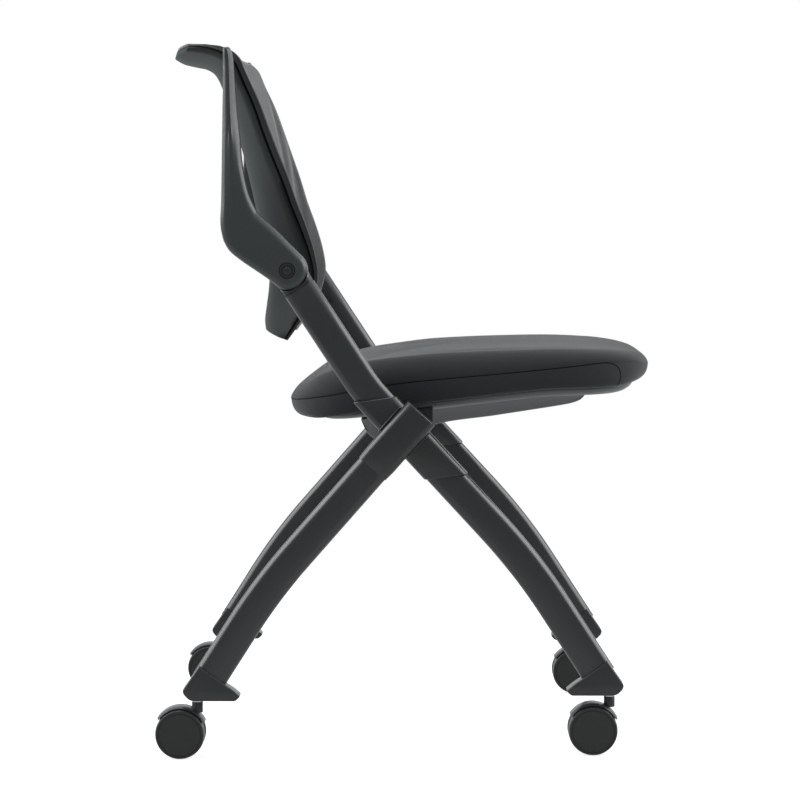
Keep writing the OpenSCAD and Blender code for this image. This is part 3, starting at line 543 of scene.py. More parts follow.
def passing(a: float | Vector, b: float | Vector, c: float | Vector, d: float | Vector,
            t: float) -> float | Vector:
    """Reads the Catmull-Rom curve from b, at t = 0, to c, at t = 1."""
    return (b + t * (c - a) / 2 + t * t * (a - 2.5 * b + 2 * c - d / 2)
            + t ** 3 * (1.5 * (b - c) + (d - a) / 2))


def smooth_through(points: Sequence[Point], steps: int) -> list[Point]:
    """Draws a Catmull-Rom curve through points.

    Args:
        points: the points that it passes.
        steps: its steps from one point to the next.

    Returns:
        Points of the curve, both ends included.
    """
    knots = [Vector(p) for p in (points[0], *points, points[-1])]
    curve = [passing(*four, i / steps) for four in zip(knots, knots[1:], knots[2:], knots[3:])
             for i in range(steps)]
    return [(p.x, p.y) for p in (*curve, knots[-1])]


def table_at(rows: Sequence[Point], x: float) -> float:
    """Reads a smooth height table at x, with a monotone cubic between its rows.

    Args:
        rows: (x, value), x growing.
        x: where to read it; beyond its ends it keeps the end's value.

    Returns:
        The value.
    """
    if x <= rows[0][0]:
        return rows[0][1]
    if x >= rows[-1][0]:
        return rows[-1][1]
    k = max(i for i, row in enumerate(rows) if row[0] <= x)
    slopes = [(b[1] - a[1]) / (b[0] - a[0]) for a, b in zip(rows, rows[1:])]

    def tangent(i: int) -> float:
        """Slope at row i: none at a turn, else the harmonic mean of its neighbours'."""
        if i == 0 or i == len(rows) - 1:
            return slopes[min(i, len(slopes) - 1)]
        left, right = slopes[i - 1], slopes[i]
        return 0.0 if left * right <= 0 else 2 * left * right / (left + right)

    (x0, y0), (x1, y1) = rows[k], rows[k + 1]
    span = x1 - x0
    t = (x - x0) / span
    return ((1 + 2 * t) * (1 - t) ** 2 * y0 + t * (1 - t) ** 2 * span * tangent(k)
            + t * t * (3 - 2 * t) * y1 + t * t * (t - 1) * span * tangent(k + 1))


class SubAssembly:
    """Pieces that are made together, each on a body of the frame."""

    def place(self, bm: BMesh, name: str, finish: Finish, body: str,
              replaces: Sequence[str] = (), edges: Edges = Edges.MOULDED) -> bpy.types.Object:
        """Turns a bmesh into a finished piece.

        Args:
            bm: the mesh, which is freed.
            name: the piece's name.
            finish: its surface.
            body: the body that it rides on.
            replaces: the frame's nodes that it stands for.
            edges: the kind of piece, by its edges.

        Returns:
            The piece.
        """
        bmesh.ops.remove_doubles(bm, verts=list(bm.verts), dist=EPS)
        bmesh.ops.recalc_face_normals(bm, faces=list(bm.faces))
        mesh = bpy.data.meshes.new(name)
        bm.to_mesh(mesh)
        bm.free()
        mesh.shade_smooth()
        mesh.set_sharp_from_angle(angle=math.radians(edges.value))
        mesh.materials.append(finish.material())
        piece = bpy.data.objects.new(name, mesh)
        bpy.context.scene.collection.objects.link(piece)
        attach(piece, body)
        if replaces:
            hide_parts(*replaces)
        LOG.info("%s: %d faces on %s", name, len(mesh.polygons), body)
        return piece

    def map_cloth(self, piece: bpy.types.Object, name: str,
                  lay: Callable[[Vector], Sequence[float]]) -> None:
        """Gives a cover its cloth map.

        Args:
            piece: the cover.
            name: the map's name.
            lay: gives a point's place on the cloth, in metres.
        """
        mesh = piece.data
        layer = mesh.uv_layers.new(name=name)
        for loop in mesh.loops:
            layer.data[loop.index].uv = lay(mesh.vertices[loop.vertex_index].co)

    def puff(self, piece: bpy.types.Object, cap: float) -> None:
        """Swells a cover as cloth under pressure, held where its mesh's attribute "held" is 1.

        Args:
            piece: the cover.
            cap: how far a point may move.
        """
        mesh = piece.data
        held = mesh.attributes["held"]
        group = piece.vertex_groups.new(name="held")
        for i, value in enumerate(held.data):
            group.add([i], value.value, "REPLACE")
        cloth = piece.modifiers.new("cloth", "CLOTH")
        cloth.settings.use_pressure = True
        cloth.settings.uniform_pressure_force = PRESSURE
        cloth.settings.vertex_group_mass = group.name
        cloth.settings.effector_weights.gravity = 0
        for number in range(1, CLOTH_FRAMES + 1):
            bpy.context.scene.frame_set(number)
        swollen = piece.evaluated_get(bpy.context.evaluated_depsgraph_get()).data
        moved = [v.co.copy() for v in swollen.vertices]
        piece.modifiers.remove(cloth)
        piece.vertex_groups.remove(group)
        bpy.context.scene.frame_set(1)
        furthest = 0.0
        for v, place in zip(mesh.vertices, moved):
            shift = place - v.co
            furthest = max(furthest, shift.length)
            v.co += shift * min(1.0, cap / shift.length) if shift.length > EPS else shift
        LOG.info("%s: the cloth moved by up to %.1f mm", piece.name, furthest * 1000)
        mesh.attributes.remove(held)
        smooth = piece.modifiers.new("smooth", "SUBSURF")
        smooth.levels = smooth.render_levels = 1

    def carve(self, piece: bpy.types.Object, cutter: BMesh) -> None:
        """Cuts a shape out of a piece and keeps the result in its mesh.

        Args:
            piece: the piece.
            cutter: the shape, which is freed.
        """
        bmesh.ops.recalc_face_normals(cutter, faces=list(cutter.faces))
        mesh = bpy.data.meshes.new("cutter")
        cutter.to_mesh(mesh)
        cutter.free()
        tool = bpy.data.objects.new("cutter", mesh)
        bpy.context.scene.collection.objects.link(tool)
        cut = piece.modifiers.new("cut", "BOOLEAN")
        cut.object, cut.operation, cut.solver = tool, "DIFFERENCE", "EXACT"
        result = piece.evaluated_get(bpy.context.evaluated_depsgraph_get())
        whole = bpy.data.meshes.new_from_object(result)
        piece.modifiers.remove(cut)
        bpy.data.objects.remove(tool)
        name, piece.data = piece.data.name, whole
        whole.name = name
        whole.set_sharp_from_angle(angle=math.radians(Edges.MOULDED.value))

    def dress(self, finish: Finish, *nodes: str) -> None:
        """Gives nodes of the frame, shapes as they are, a finish.

        Args:
            finish: the finish.
            *nodes: the nodes' names.
        """
        for name in nodes:
            node = frame["nodes"][name]
            for held in node.material_slots:
                held.material = finish.material()
            if not node.material_slots:
                node.data.materials.append(finish.material())
            LOG.info("%s: dressed in %s", name, finish.name)


# Frame of tubes


def station(point: Vector, slope: float, y: float) -> Matrix:
    """Stands a section square on a run.

    Args:
        point: the run's point, (x, z).
        slope: the run's direction from +X towards +Z, in degrees.
        y: the run's plane.

    Returns:
        The matrix that takes the section's XY plane there, with its Z along the run.
    """
    cos, sin = math.cos(math.radians(slope)), math.sin(math.radians(slope))
    turn = Matrix(((sin, 0, -cos), (0, 1, 0), (cos, 0, sin))).transposed()
    return Matrix.Translation((point.x, y, point.y)) @ turn.to_4x4()


def step(point: Vector, slope: float, distance: float) -> Vector:
    """Goes a distance from a point of the side view, slope in degrees."""
    a = math.radians(slope)
    return point + distance * Vector((math.cos(a), math.sin(a)))


def in_space(point: Vector, y: float = 0.0) -> Vector:
    """Takes a point or a direction of the side view to the plane y."""
    return Vector((point.x, y, point.y))


def knee(corner: Vector, into: float, out: float, radius: float,
         steps: int = 14) -> list[tuple[Vector, float]]:
    """Bends a run at a corner.

    Args:
        corner: where its straight runs would meet.
        into: the slope of the run that comes in.
        out: the slope of the run that goes out.
        radius: the bend's radius.
        steps: its steps.

    Returns:
        Points and slopes along the bend.
    """
    side = 1 if out > into else -1
    tangent = radius * math.tan(math.radians(abs(out - into)) / 2)
    centre = step(step(corner, into + 180, tangent), into + side * 90, radius)
    slopes = [into + (out - into) * i / steps for i in range(steps + 1)]
    return [(step(centre, slope - side * 90, radius), slope) for slope in slopes]


@dataclass
class TubeFrame(SubAssembly):
    """Crossed tubes, the blocks and caps that join them, their feet and the back's pivots."""

    tube_width: float = 0.040
    tube_thickness: float = 0.020
    wall: float = 0.002
    tube_edge: Rounding = (0.0005, 2)
    leg_bend: float = 0.720
    upper_bend: float = 0.200
    upright_slope: float = -56.7
    middle_slope: float = -47.3
    front_shin_slope: float = -57.0
    rear_thigh_slope: float = 228.7
    rear_shin_slope: float = 237.5
    upper_knee: float = 0.0685
    front_knee: float = 0.2165
    front_shin: float = 0.162
    rear_knee: float = 0.246
    rear_shin: float = 0.1335
    top_gap: float = 0.02625
    collar_inset: float = 0.0003
    collar_seam: float = 0.0005
    collar_round: float = 0.0248
    collar_edge: Rounding = (0.0004, 2)
    sleeve_gap: float = 0.0001
    block_width: float = 0.043
    block_thickness: float = 0.030
    block_round: float = 0.009
    block_edge: Rounding = (0.0013, 3)
    block_up: float = 0.052
    block_down: float = 0.074
    block_end_slope: float = 8.0
    cap_thickness: float = 0.0288
    cap_up: float = 0.031
    cap_down: float = 0.057
    cap_draw: float = 0.014
    cap_lap: float = 0.0006
    cap_edge: Rounding = (0.0014, 4)
    lip_gap: float = 0.0004
    lip_thickness: float = 0.0024
    lip_height: float = 0.005
    lip_edge: Rounding = (0.00115, 4)
    # How much shorter than half the block's width each half of a lip is, by the cap and off it
    lip_short: tuple[float, float] = (0.0012, 0.0036)
    arm_out: float = 0.254
    recess_depth: float = 0.0025
    clearance: float = 0.00025
    bolt_shank: float = 0.005
    bolt_steps: int = 48
    bolt_radii: tuple[float, float, float] = (0.0092, 0.0058, 0.0024)
    # Profile of a bolt's head: which radius, what is added to it, and the height above its bed
    bolt_head: tuple[tuple[int, float, float], ...] = (
        (0, 0, 0), (0, 0, 0.0005), (0, -0.0004, 0.0009), (1, 0.0010, 0.0009), (1, 0.0006, 0.0004),
        (1, 0, 0.0004), (1, -0.0004, 0.0016), (2, 0.0008, 0.0016), (2, 0, 0.0012), (2, 0, -0.0010),
    )
    foot_thickness: float = 0.027
    foot_length: float = 0.068
    foot_round: Rounding = (0.005, 5)
    foot_corner: Rounding = (0.0022, 3)
    # The share of a foot's length up to which its corners are rounded
    foot_corner_to: float = 0.55
    # Outline of a foot in shares of its length, from the stem's axis and the underside
    foot_shares: tuple[Point, ...] = (
        (-0.044, 0.613), (0.250, 0.191), (0.235, 0.118), (0.147, 0.029), (0.074, 0.0),
        (-0.676, 0.0), (-0.765, 0.088), (-0.618, 0.206), (-0.485, 0.294),
    )

    @cached_property
    def crossing(self) -> Vector:
        """Where the legs cross, in the side view."""
        return pivot_of("seat_flip")

    @cached_property
    def back_pivot(self) -> Vector:
        """Where the back's arms turn, in the side view."""
        return pivot_of("back_recline")

    def plane(self, end: End) -> float:
        """Distance from the middle of the chair to the tubes of one end."""
        return joint_place(f"{end.word}_left_swivel").y

    def oval(self, less: float = 0.0) -> tuple[float, float, float]:
        """The tube's section, made smaller all round by less."""
        thickness = self.tube_thickness - 2 * less
        return self.tube_width - 2 * less, thickness, thickness / 2 - EPS

    def front_run(self) -> list[tuple[Vector, float]]:
        """Points and slopes down the front tube, from the back's pivot to the foot."""
        upper = step(self.crossing, self.middle_slope + 180, self.upper_knee)
        lower = step(self.crossing, self.middle_slope, self.front_knee)
        end = step(lower, self.front_shin_slope, self.front_shin)
        top = step(self.back_pivot, self.upright_slope, self.top_gap)
        return [
            (top, self.upright_slope),
            *knee(upper, self.upright_slope, self.middle_slope, self.upper_bend),
            *knee(lower, self.middle_slope, self.front_shin_slope, self.leg_bend),
            (end, self.front_shin_slope),
        ]

    def tube(self, run: Sequence[tuple[Vector, float]], y: float) -> tuple[BMesh, list[BMVert]]:
        """Sweeps the hollow oval tube down a run.

        Args:
            run: the run's points and slopes.
            y: the run's plane.

        Returns:
            The mesh, and the outer vertices of its first end.
        """
        bm = bmesh.new()
        stations = [station(p, slope, y) for p, slope in run]
        outside, inside = (sweep(bm, rounded_ring(bm, *self.oval(less)), stations)
                           for less in (0.0, self.wall))
        for a, b in zip(outside, inside):
            bridge(bm, a, b)
        return bm, outside[0]

    def front_tube(self, side: Side) -> None:
        """Builds a front tube, cut square above.

        Args:
            side: the chair's side.
        """
        bm, top = self.tube(self.front_run(), side.value * self.plane(End.FRONT))
        bevel(bm, edges_among(top), *self.tube_edge)
        self.place(bm, f"front_tube_{side.word}", TUBE_PAINT, "frame", [f"{side.word}_front_tube"])

    def collar(self, side: Side) -> None:
        """Builds the collar between a front tube and the back's arm, hollowed for its boss.

        Args:
            side: the chair's side.
        """
        low = step(self.back_pivot, self.upright_slope, self.top_gap - self.collar_seam)
        stations = [station(p, self.upright_slope, side.value * self.plane(End.FRONT))
                    for p in (self.back_pivot, low)]
        bm = bmesh.new()
        top, end = sweep(bm, rounded_ring(bm, *self.oval(self.collar_inset)), stations)
        run = step(Vector((0, 0)), self.upright_slope, 1)
        for v in top:
            aside = (v.co.xz - self.back_pivot).cross(run)
            v.co += in_space(math.sqrt(self.collar_round ** 2 - aside ** 2) * run)
        close_ring(bm, top)
        close_ring(bm, end)
        bevel(bm, edges_among(end), *self.collar_edge)
        self.place(bm, f"tube_collar_{side.word}", COLLAR_BLACK_AND_SHADE, "frame")

    def rear_leg(self, side: Side) -> None:
        """Builds a rear leg, from inside its cap to inside its foot.

        Args:
            side: the chair's side.
        """
        thigh, shin = self.rear_thigh_slope, self.rear_shin_slope
        low = step(self.crossing, thigh, self.rear_knee)
        run = [
            (step(self.crossing, thigh + 180, self.cap_up - 2 * self.wall), thigh),
            *knee(low, thigh, shin, self.leg_bend),
            (step(low, shin, self.rear_shin), shin),
        ]
        bm, _ = self.tube(run, side.value * self.plane(End.REAR))
        self.place(bm, f"rear_leg_{side.word}", TUBE_PAINT, "frame", [f"{side.word}_rear_leg"])

    def block(self, side: Side) -> None:
        """Builds the sleeve at the crossing, its ends slanted, with a lip on each side of the cap.

        Args:
            side: the chair's side.
        """
        y = side.value * self.plane(End.FRONT)
        places = [step(self.crossing, self.middle_slope + 180, self.block_up),
                  step(self.crossing, self.middle_slope, self.block_down)]
        stations = [station(p, self.middle_slope, y) for p in places]
        bm = bmesh.new()
        outer = (self.block_width, self.block_thickness, self.block_round)
        outside, inside = (sweep(bm, rounded_ring(bm, *size), stations)
                           for size in (outer, self.oval(-self.sleeve_gap)))
        slant = math.tan(math.radians(90 + self.middle_slope - self.block_end_slope))
        run = step(Vector((0, 0)), self.middle_slope, 1)
        for v in bm.verts:
            v.co -= in_space(run) * (v.co.xz - self.crossing).cross(run) * slant
        for a, b in zip(outside, inside):
            bridge(bm, a, b)
        bevel(bm, edges_among(outside[0]) + edges_among(outside[1]), *self.block_edge)
        self.place(bm, f"junction_block_{side.word}", MOULDED, "frame",
                   [f"{side.word}_junction_block"])
        for word, sign in (("upper", 1), ("lower", -1)):
            self.lip(side, word, sign)

    def lip(self, side: Side, word: str, sign: int) -> None:
        """Builds a lip that stands on the block beside the cap.

        Args:
            side: the chair's side.
            word: the lip's name.
            sign: the side of the cap that it lies on.
        """
        face = side.value * (self.plane(End.FRONT) + self.block_thickness / 2)
        high = side.value * self.lip_height
        slope = self.rear_thigh_slope
        bar = []
        for along, aside in ((-1, 0), (1, 0), (1, 1), (-1, 1)):
            reach = self.block_width / 2 + self.lip_gap + aside * self.lip_thickness
            foot = step(self.crossing, slope + 90 * sign, reach)
            half = self.block_width / 2 - self.lip_short[aside]
            bar.append(tuple(step(foot, slope, along * half)))
        bm = bmesh.new()
        out = outline_solid(bm, bar, face + high, face - high)
        bevel(bm, out.edges, *self.lip_edge)
        self.place(bm, f"block_lip_{word}_{side.word}", MOULDED, "frame")

    def cap(self, side: Side) -> None:
        """Builds the cap over the top of a rear leg: a closed sleeve, drawn in to the tube below.

        Args:
            side: the chair's side.
        """
        y = side.value * self.plane(End.REAR)
        slope = self.rear_thigh_slope
        top = step(self.crossing, slope + 180, self.cap_up)
        roof = step(top, slope, 2 * self.wall)
        low = step(self.crossing, slope, self.cap_down)
        start = step(low, slope + 180, self.cap_draw)
        bm = bmesh.new()
        outside, inside = (
            sweep(bm, rounded_ring(bm, *size), [station(p, slope, y) for p in places])
            for size, places in (
                ((self.block_width, self.cap_thickness, self.block_round), (top, start, low)),
                (self.oval(-self.sleeve_gap), (roof, low))))
        run = step(Vector((0, 0)), slope, 1)
        square = Vector((-run.y, run.x))
        less = 1 - (self.tube_width + 2 * self.cap_lap) / self.block_width
        flatter = (self.tube_thickness + 2 * self.cap_lap) / self.cap_thickness
        for v in outside[1]:
            v.co += in_space(square) * (v.co.xz - low).cross(run) * less
            v.co.y = y + (v.co.y - y) * flatter
        bridge(bm, outside[1], inside[1])
        close_ring(bm, outside[0])
        close_ring(bm, inside[0])
        bevel(bm, edges_among(outside[0]), *self.cap_edge)
        self.place(bm, f"leg_cap_{side.word}", MOULDED, "frame", [f"{side.word}_leg_cap"])

    def foot(self, end: End, side: Side) -> None:
        """Builds a foot: a moulded shoe on the end of a tube.

        Args:
            end: the chair's end.
            side: the chair's side.
        """
        node = f"{end.word}_{side.word}_foot"
        stem = joint_place(f"{end.word}_{side.word}_swivel")
        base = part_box(node)[0].z
        half = self.foot_thickness / 2
        bm = bmesh.new()
        outline_solid(bm, [(stem.x + end.value * x * self.foot_length, base + z * self.foot_length)
                           for x, z in self.foot_shares], stem.y - half, stem.y + half)
        highest = base + self.foot_corner_to * self.foot_length
        bevel(bm, [e for e in bm.edges if abs(e.verts[0].co.y - e.verts[1].co.y) > half
                   and e.verts[0].co.z < highest], *self.foot_corner)
        bevel(bm, [e for e in bm.edges if abs(e.verts[0].co.y - e.verts[1].co.y) < EPS
                   and len({round(f.normal.y) for f in e.link_faces}) == 2], *self.foot_round)
        self.place(bm, f"shoe_{end.word}_{side.word}", MOULDED, "frame", [node])

    def pivot_bolts(self) -> None:
        """Builds both bolts of the back's pivots: a shank, and a ringed head in its recess."""
        bed = self.arm_out - self.recess_depth + self.clearance
        tongue = self.plane(End.FRONT) - self.tube_thickness / 2
        head = [(self.bolt_radii[k] + more, bed + up) for k, more, up in self.bolt_head]
        profile = [(0, tongue), (self.bolt_shank, tongue), (self.bolt_shank, bed), *head,
                   (0, head[-1][1])]
        bm = bmesh.new()
        for side in Side:
            lathe(bm, [(r, side.value * y) for r, y in profile], in_space(self.back_pivot),
                  self.bolt_steps)
        self.place(bm, "pivot_bolts_turned", DARK_STEEL, "frame", ["pivot_bolts"],
                   edges=Edges.TURNED)

    def build(self) -> None:
        """Builds the frame's pieces and dresses its small ones."""
        self.pivot_bolts()
        for side in Side:
            self.front_tube(side)
            self.collar(side)
            self.rear_leg(side)
            self.block(side)
            self.cap(side)
            for end in End:
                self.foot(end, side)
            self.dress(MOULDED, f"{side.word}_back_fitting")
        self.dress(TUBE_PAINT, "cross_tube", "seat_stops")
        self.dress(STEEL, "cross_tube_plugs", "junction_studs")
        self.dress(DARK_STEEL, "block_screws", "fitting_screws")
        self.dress(RUBBER, "stop_bumpers")


# Casters


@dataclass
class Caster(SubAssembly):
    """A twin-wheel caster of one corner."""

    end: End = End.FRONT
    side: Side = Side.LEFT
    web: float = 0.009
    clearance: float = 0.0005
    wheel_width: float = 0.017
    tread_round: float = 0.0022
    # The tread's shoulder: how far it drops, how deep it is, and its curve in shares of both
    shoulder: tuple[float, float] = (0.0014, 0.0070)
    shoulder_curve: tuple[Point, ...] = ((0, 1), (0.2, 0.6), (0.5, 0.25), (0.8, 0.03), (1, 0))
    ring_inset: float = 0.0022
    ring_width: float = 0.0012
    ring_depth: float = 0.0008
    ring_slope: float = 0.0002
    dish: float = 0.0004
    hub_floor: float = 0.001
    wheel_steps: int = 96
    hub: float = 0.008
    rim: float = 0.005
    face: float = 0.005
    bore: float = 0.00306
    hood_gap: float = 0.0008
    hood_wall: float = 0.0027
    hood_width: float = 0.034
    hood_lip: float = 0.0006
    hood_edge: float = 0.0100
    # The hood's rounded edge, in shares of its rise and of its depth
    hood_curve: tuple[Point, ...] = ((0, 0), (0.30, 0.12), (0.58, 0.35), (0.80, 0.62), (0.94, 0.85),
                                     (1, 1))
    hood_from: float = 26.0
    hood_to: float = 146.0
    hood_steps: int = 40
    hub_steps: int = 48
    collar: float = 0.0066
    collar_rise: float = 0.0020
    collar_height: float = 0.0125
    collar_edge: Rounding = (0.0007, 2)

    @property
    def corner(self) -> str:
        """The corner's name in the frame."""
        return f"{self.end.word}_{self.side.word}"

    def build(self) -> None:
        """Builds both wheels and the housing, and dresses stem and axle."""
        low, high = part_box(f"{self.corner}_outer_wheel")
        stem = joint_place(f"{self.corner}_swivel")
        radius = (high.z - low.z) / 2
        centre = Vector(((low.x + high.x) / 2, stem.y, radius))
        for word, sign in (("inner", -1), ("outer", 1)):
            self.wheel(word, self.side.value * sign, centre, radius)
        self.housing(centre, radius, stem)
        self.dress(STEEL, f"{self.corner}_caster_stem", f"{self.corner}_caster_axle")

    def wheel(self, word: str, out: int, centre: Vector, radius: float) -> None:
        """Builds one wheel: a dished face with a slim ring, a rounded tread and a recess inside.

        Args:
            word: inner or outer.
            out: the sign on Y of its open face.
            centre: the middle of the axle.
            radius: the wheel's radius.
        """
        y0 = self.web / 2 + self.clearance
        y1 = y0 + self.wheel_width
        r = self.tread_round
        drop, deep = self.shoulder
        ring = radius - drop - self.ring_inset
        inside = ring - self.ring_width
        cup, rim = y1 - self.face, radius - self.rim
        profile = [
            (0, cup + self.hub_floor), (self.bore, cup + self.hub_floor), (self.bore, y0),
            (self.hub, y0), (self.hub, cup), (rim, cup), (rim, y0),
            *arc((radius - r, y0 + r), r, -90, 0, 4),
            *((radius - a * drop, y1 - b * deep) for a, b in self.shoulder_curve),
            (ring, y1), (ring - self.ring_slope, y1 - self.ring_depth),
            (inside, y1 - self.ring_depth), (inside - self.ring_slope, y1), (0, y1 - self.dish),
        ]
        bm = bmesh.new()
        lathe(bm, [(x, out * y) for x, y in profile], centre, self.wheel_steps)
        self.place(bm, f"wheel_{self.corner}_{word}", WHEEL, f"{self.corner}_{word}_wheel_body",
                   [f"{self.corner}_{word}_wheel"], edges=Edges.TURNED)

    def housing(self, centre: Vector, radius: float, stem: Vector) -> None:
        """Builds the hood over the wheels, the web between them and the collar round the stem.

        Args:
            centre: the middle of the axle.
            radius: the wheels' radius.
            stem: a point of the stem's axis.
        """
        body = f"{self.corner}_caster"
        inner = radius + self.hood_gap
        half, web = self.hood_width / 2, self.web / 2
        rise = self.hood_wall - self.hood_lip
        start = math.radians(self.hood_from)
        span = math.radians(self.hood_to) - start
        over = [(inner + self.hood_lip + rise * a, self.hood_edge * b - half)
                for a, b in self.hood_curve]
        shell = bmesh.new()
        lathe(shell, [(inner, -half), *over, *((r, -y) for r, y in reversed(over)), (inner, half)],
              centre, self.hood_steps, span, start)
        self.place(shell, f"hood_{self.corner}", HOOD, body, [f"{body}_housing"],
                   edges=Edges.TURNED)
        plate = bmesh.new()
        edge = inner + EPS
        lathe(plate, [(self.bore, -web), (edge, -web), (edge, web), (self.bore, web)],
              centre, self.hood_steps, span, start)
        disc = bmesh.new()
        lathe(disc, [(self.bore, -web), (radius / 2, -web), (radius / 2, web), (self.bore, web),
                     (self.bore, -web)], centre, self.hub_steps)
        neck = bmesh.new()
        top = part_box(f"{body}_housing")[1].z + self.collar_rise
        ends = sweep(neck, rounded_ring(neck, 2 * self.collar, 2 * self.collar, self.collar - EPS),
                     [Matrix.Translation((stem.x, stem.y, z))
                      for z in (top, top - self.collar_height)])
        for end in ends:
            close_ring(neck, end)
        bevel(neck, edges_among(ends[0]), *self.collar_edge)
        for bm, word in ((plate, "web"), (disc, "hub"), (neck, "collar")):
            self.place(bm, f"{word}_{self.corner}", HOOD, body, edges=Edges.TURNED)


# Seat


# The heights of a ring: at an x of the side view
Level = Callable[[float], float]


@dataclass
class Seat(SubAssembly):
    """Upholstered seat on its pan and carrier. Heights are shares of its length above the pivot."""

    length: float = 0.446
    width: float = 0.426
    rear: float = 0.143
    plan_power: float = 4.0
    fill_ends: float = 0.65
    points: int = 132
    crown: tuple[Point, ...] = (
        (0, 0.080), (0.034, 0.112), (0.072, 0.138), (0.092, 0.148), (0.159, 0.170), (0.231, 0.186),
        (0.372, 0.205), (0.446, 0.209), (0.590, 0.2125), (0.760, 0.213), (0.865, 0.209),
        (0.930, 0.202), (0.970, 0.195), (1, 0.184),
    )
    crease: tuple[Point, ...] = (
        (0, 0.078), (0.050, 0.112), (0.105, 0.147), (0.220, 0.181), (0.307, 0.193), (0.444, 0.205),
        (0.581, 0.2105), (0.744, 0.215), (0.854, 0.213), (0.910, 0.208), (0.964, 0.198), (1, 0.182),
    )
    seam: tuple[Point, ...] = (
        (0, 0.066), (0.092, 0.083), (0.309, 0.123), (0.444, 0.137), (0.578, 0.149), (0.713, 0.162),
        (0.800, 0.171), (0.872, 0.178), (0.930, 0.177), (1, 0.160),
    )
    base: tuple[Point, ...] = (
        (0, 0.032), (0.030, 0.023), (0.055, 0.0215), (0.075, 0.021), (0.092, 0.0225),
        (0.132, 0.029), (0.204, 0.041), (0.350, 0.065), (0.444, 0.076), (0.578, 0.092),
        (0.740, 0.1065), (0.848, 0.108), (0.904, 0.110), (0.955, 0.120), (1, 0.133),
    )
    # The cushion's rings: share of the plan, share of the height between two of the tables above,
    # and how far the cloth is held there
    bottom_hollow: float = 0.0086
    hollow_rings: tuple[float, ...] = (0.45, 0.70, 0.885)
    flat_rings: tuple[float, ...] = (0.888, 0.930)
    panel_rings: tuple[tuple[float, float, float], ...] = (
        (0.948, 0.005, 1), (0.962, 0.03, 1), (0.974, 0.09, 1), (0.983, 0.20, 0.2), (0.990, 0.36, 0),
        (0.994, 0.54, 0), (0.9965, 0.72, 0), (0.998, 0.88, 0.2), (0.998, 0.96, 1),
    )
    side_rings: tuple[tuple[float, float, float], ...] = (
        (0.9955, 0, 1), (0.9985, 0.03, 1), (0.9995, 0.10, 0.2), (0.998, 0.22, 0), (0.994, 0.35, 0),
        (0.984, 0.52, 0), (0.967, 0.69, 0), (0.946, 0.82, 0), (0.925, 0.92, 0.2), (0.908, 0.97, 1),
        (0.896, 1, 1),
    )
    top_rings: tuple[tuple[float, float, float], ...] = (
        (0.884, 0.05, 1), (0.869, 0.11, 0.3), (0.850, 0.18, 0), (0.822, 0.28, 0), (0.79, 0.37, 0),
        (0.74, 0.47, 0), (0.68, 0.58, 0), (0.61, 0.69, 0), (0.53, 0.79, 0), (0.44, 0.87, 0),
        (0.34, 0.94, 0), (0.23, 0.98, 0), (0.11, 1, 0),
    )
    crease_sharpness: float = 0.8
    swell: float = 0.0022
    seam_end: float = 61.0
    seam_steps: int = 150
    # The seam's turn at a front corner: degrees past its end, and share of the panel's height
    seam_turn: tuple[Point, ...] = (
        (3.0, 0.995), (6.0, 0.97), (8.5, 0.92), (10.6, 0.83), (12.2, 0.70), (13.2, 0.55),
        (13.7, 0.40), (13.8, 0.26), (13.6, 0.14), (13.2, 0.05),
    )
    # Shares of the plan from which and towards which the seam is looked for on the cover
    seam_from: float = 1.15
    seam_to: float = 0.6
    thread: float = 0.0007
    thread_sink: float = 0.0003
    thread_points: int = 8
    pan_share: float = 0.915
    pan_middle: float = 0.5
    pan_rear: float = 0.90
    pan_gap: float = 0.0003
    pan_depth: float = 0.0100
    # The pan's depth at the rear, as a share, and the share of the seat's length where it is whole
    pan_shallow: float = 0.62
    pan_whole_from: float = 0.40
    # The pan's side: change of its share of the plan, and height
    pan_side: tuple[Point, ...] = (
        (-0.002, 0.0), (0.0, -0.0020), (-0.003, -0.0042), (-0.012, -0.0062), (-0.030, -0.0080),
        (-0.055, -0.0092), (-0.085, -0.0098), (-0.140, -0.0100),
    )
    carrier: tuple[Point, ...] = (
        (-0.119, 0.022), (-0.112, -0.004), (-0.096, -0.031), (-0.076, -0.043), (-0.034, -0.054),
        (0.018, -0.054), (0.054, -0.036), (0.079, -0.001), (0.250, 0.0262), (0.360, 0.0437),
        (0.440, 0.0575), (0.462, 0.0630), (0.478, 0.0700), (0.487, 0.0775), (0.490, 0.0830),
    )
    carrier_width: float = 0.330
    carrier_steps: int = 72
    carrier_lap: float = 0.0098
    carrier_least: float = 0.0005
    carrier_draft: float = 1.2
    carrier_draft_most: float = 0.024
    carrier_round: float = 0.004
    # Points of a lower edge of the carrier, in shares of its rounding: inwards, and up
    carrier_edge: tuple[Point, ...] = ((-0.25, 1), (0.25, 0.3), (1, 0))

    @cached_property
    def pivot(self) -> Vector:
        """A point of the seat's pivot."""
        return joint_place("seat_flip")

    @property
    def middle(self) -> float:
        """X of the middle of the seat's plan."""
        return self.length / 2 - self.rear

    def height(self, x: float, rows: Sequence[Point]) -> float:
        """Height above the floor at x, by one of the seat's tables."""
        return self.pivot.z + self.length * table_at(rows, (x + self.rear) / self.length)

    def plan(self, angle: float, share: float, fill: bool = False) -> Point:
        """Finds a point on the seat's rounded plan.

        Args:
            angle: its angle round the middle.
            share: its share of the plan's size.
            fill: takes it nearer the ends of the seat.

        Returns:
            Its x and y.
        """
        cos, sin = (math.copysign(abs(v) ** (2 / self.plan_power), v)
                    for v in (math.cos(angle), math.sin(angle)))
        along = share + self.fill_ends * share * share * (1 - share) if fill else share
        return self.middle + along * self.length / 2 * cos, share * self.width / 2 * sin

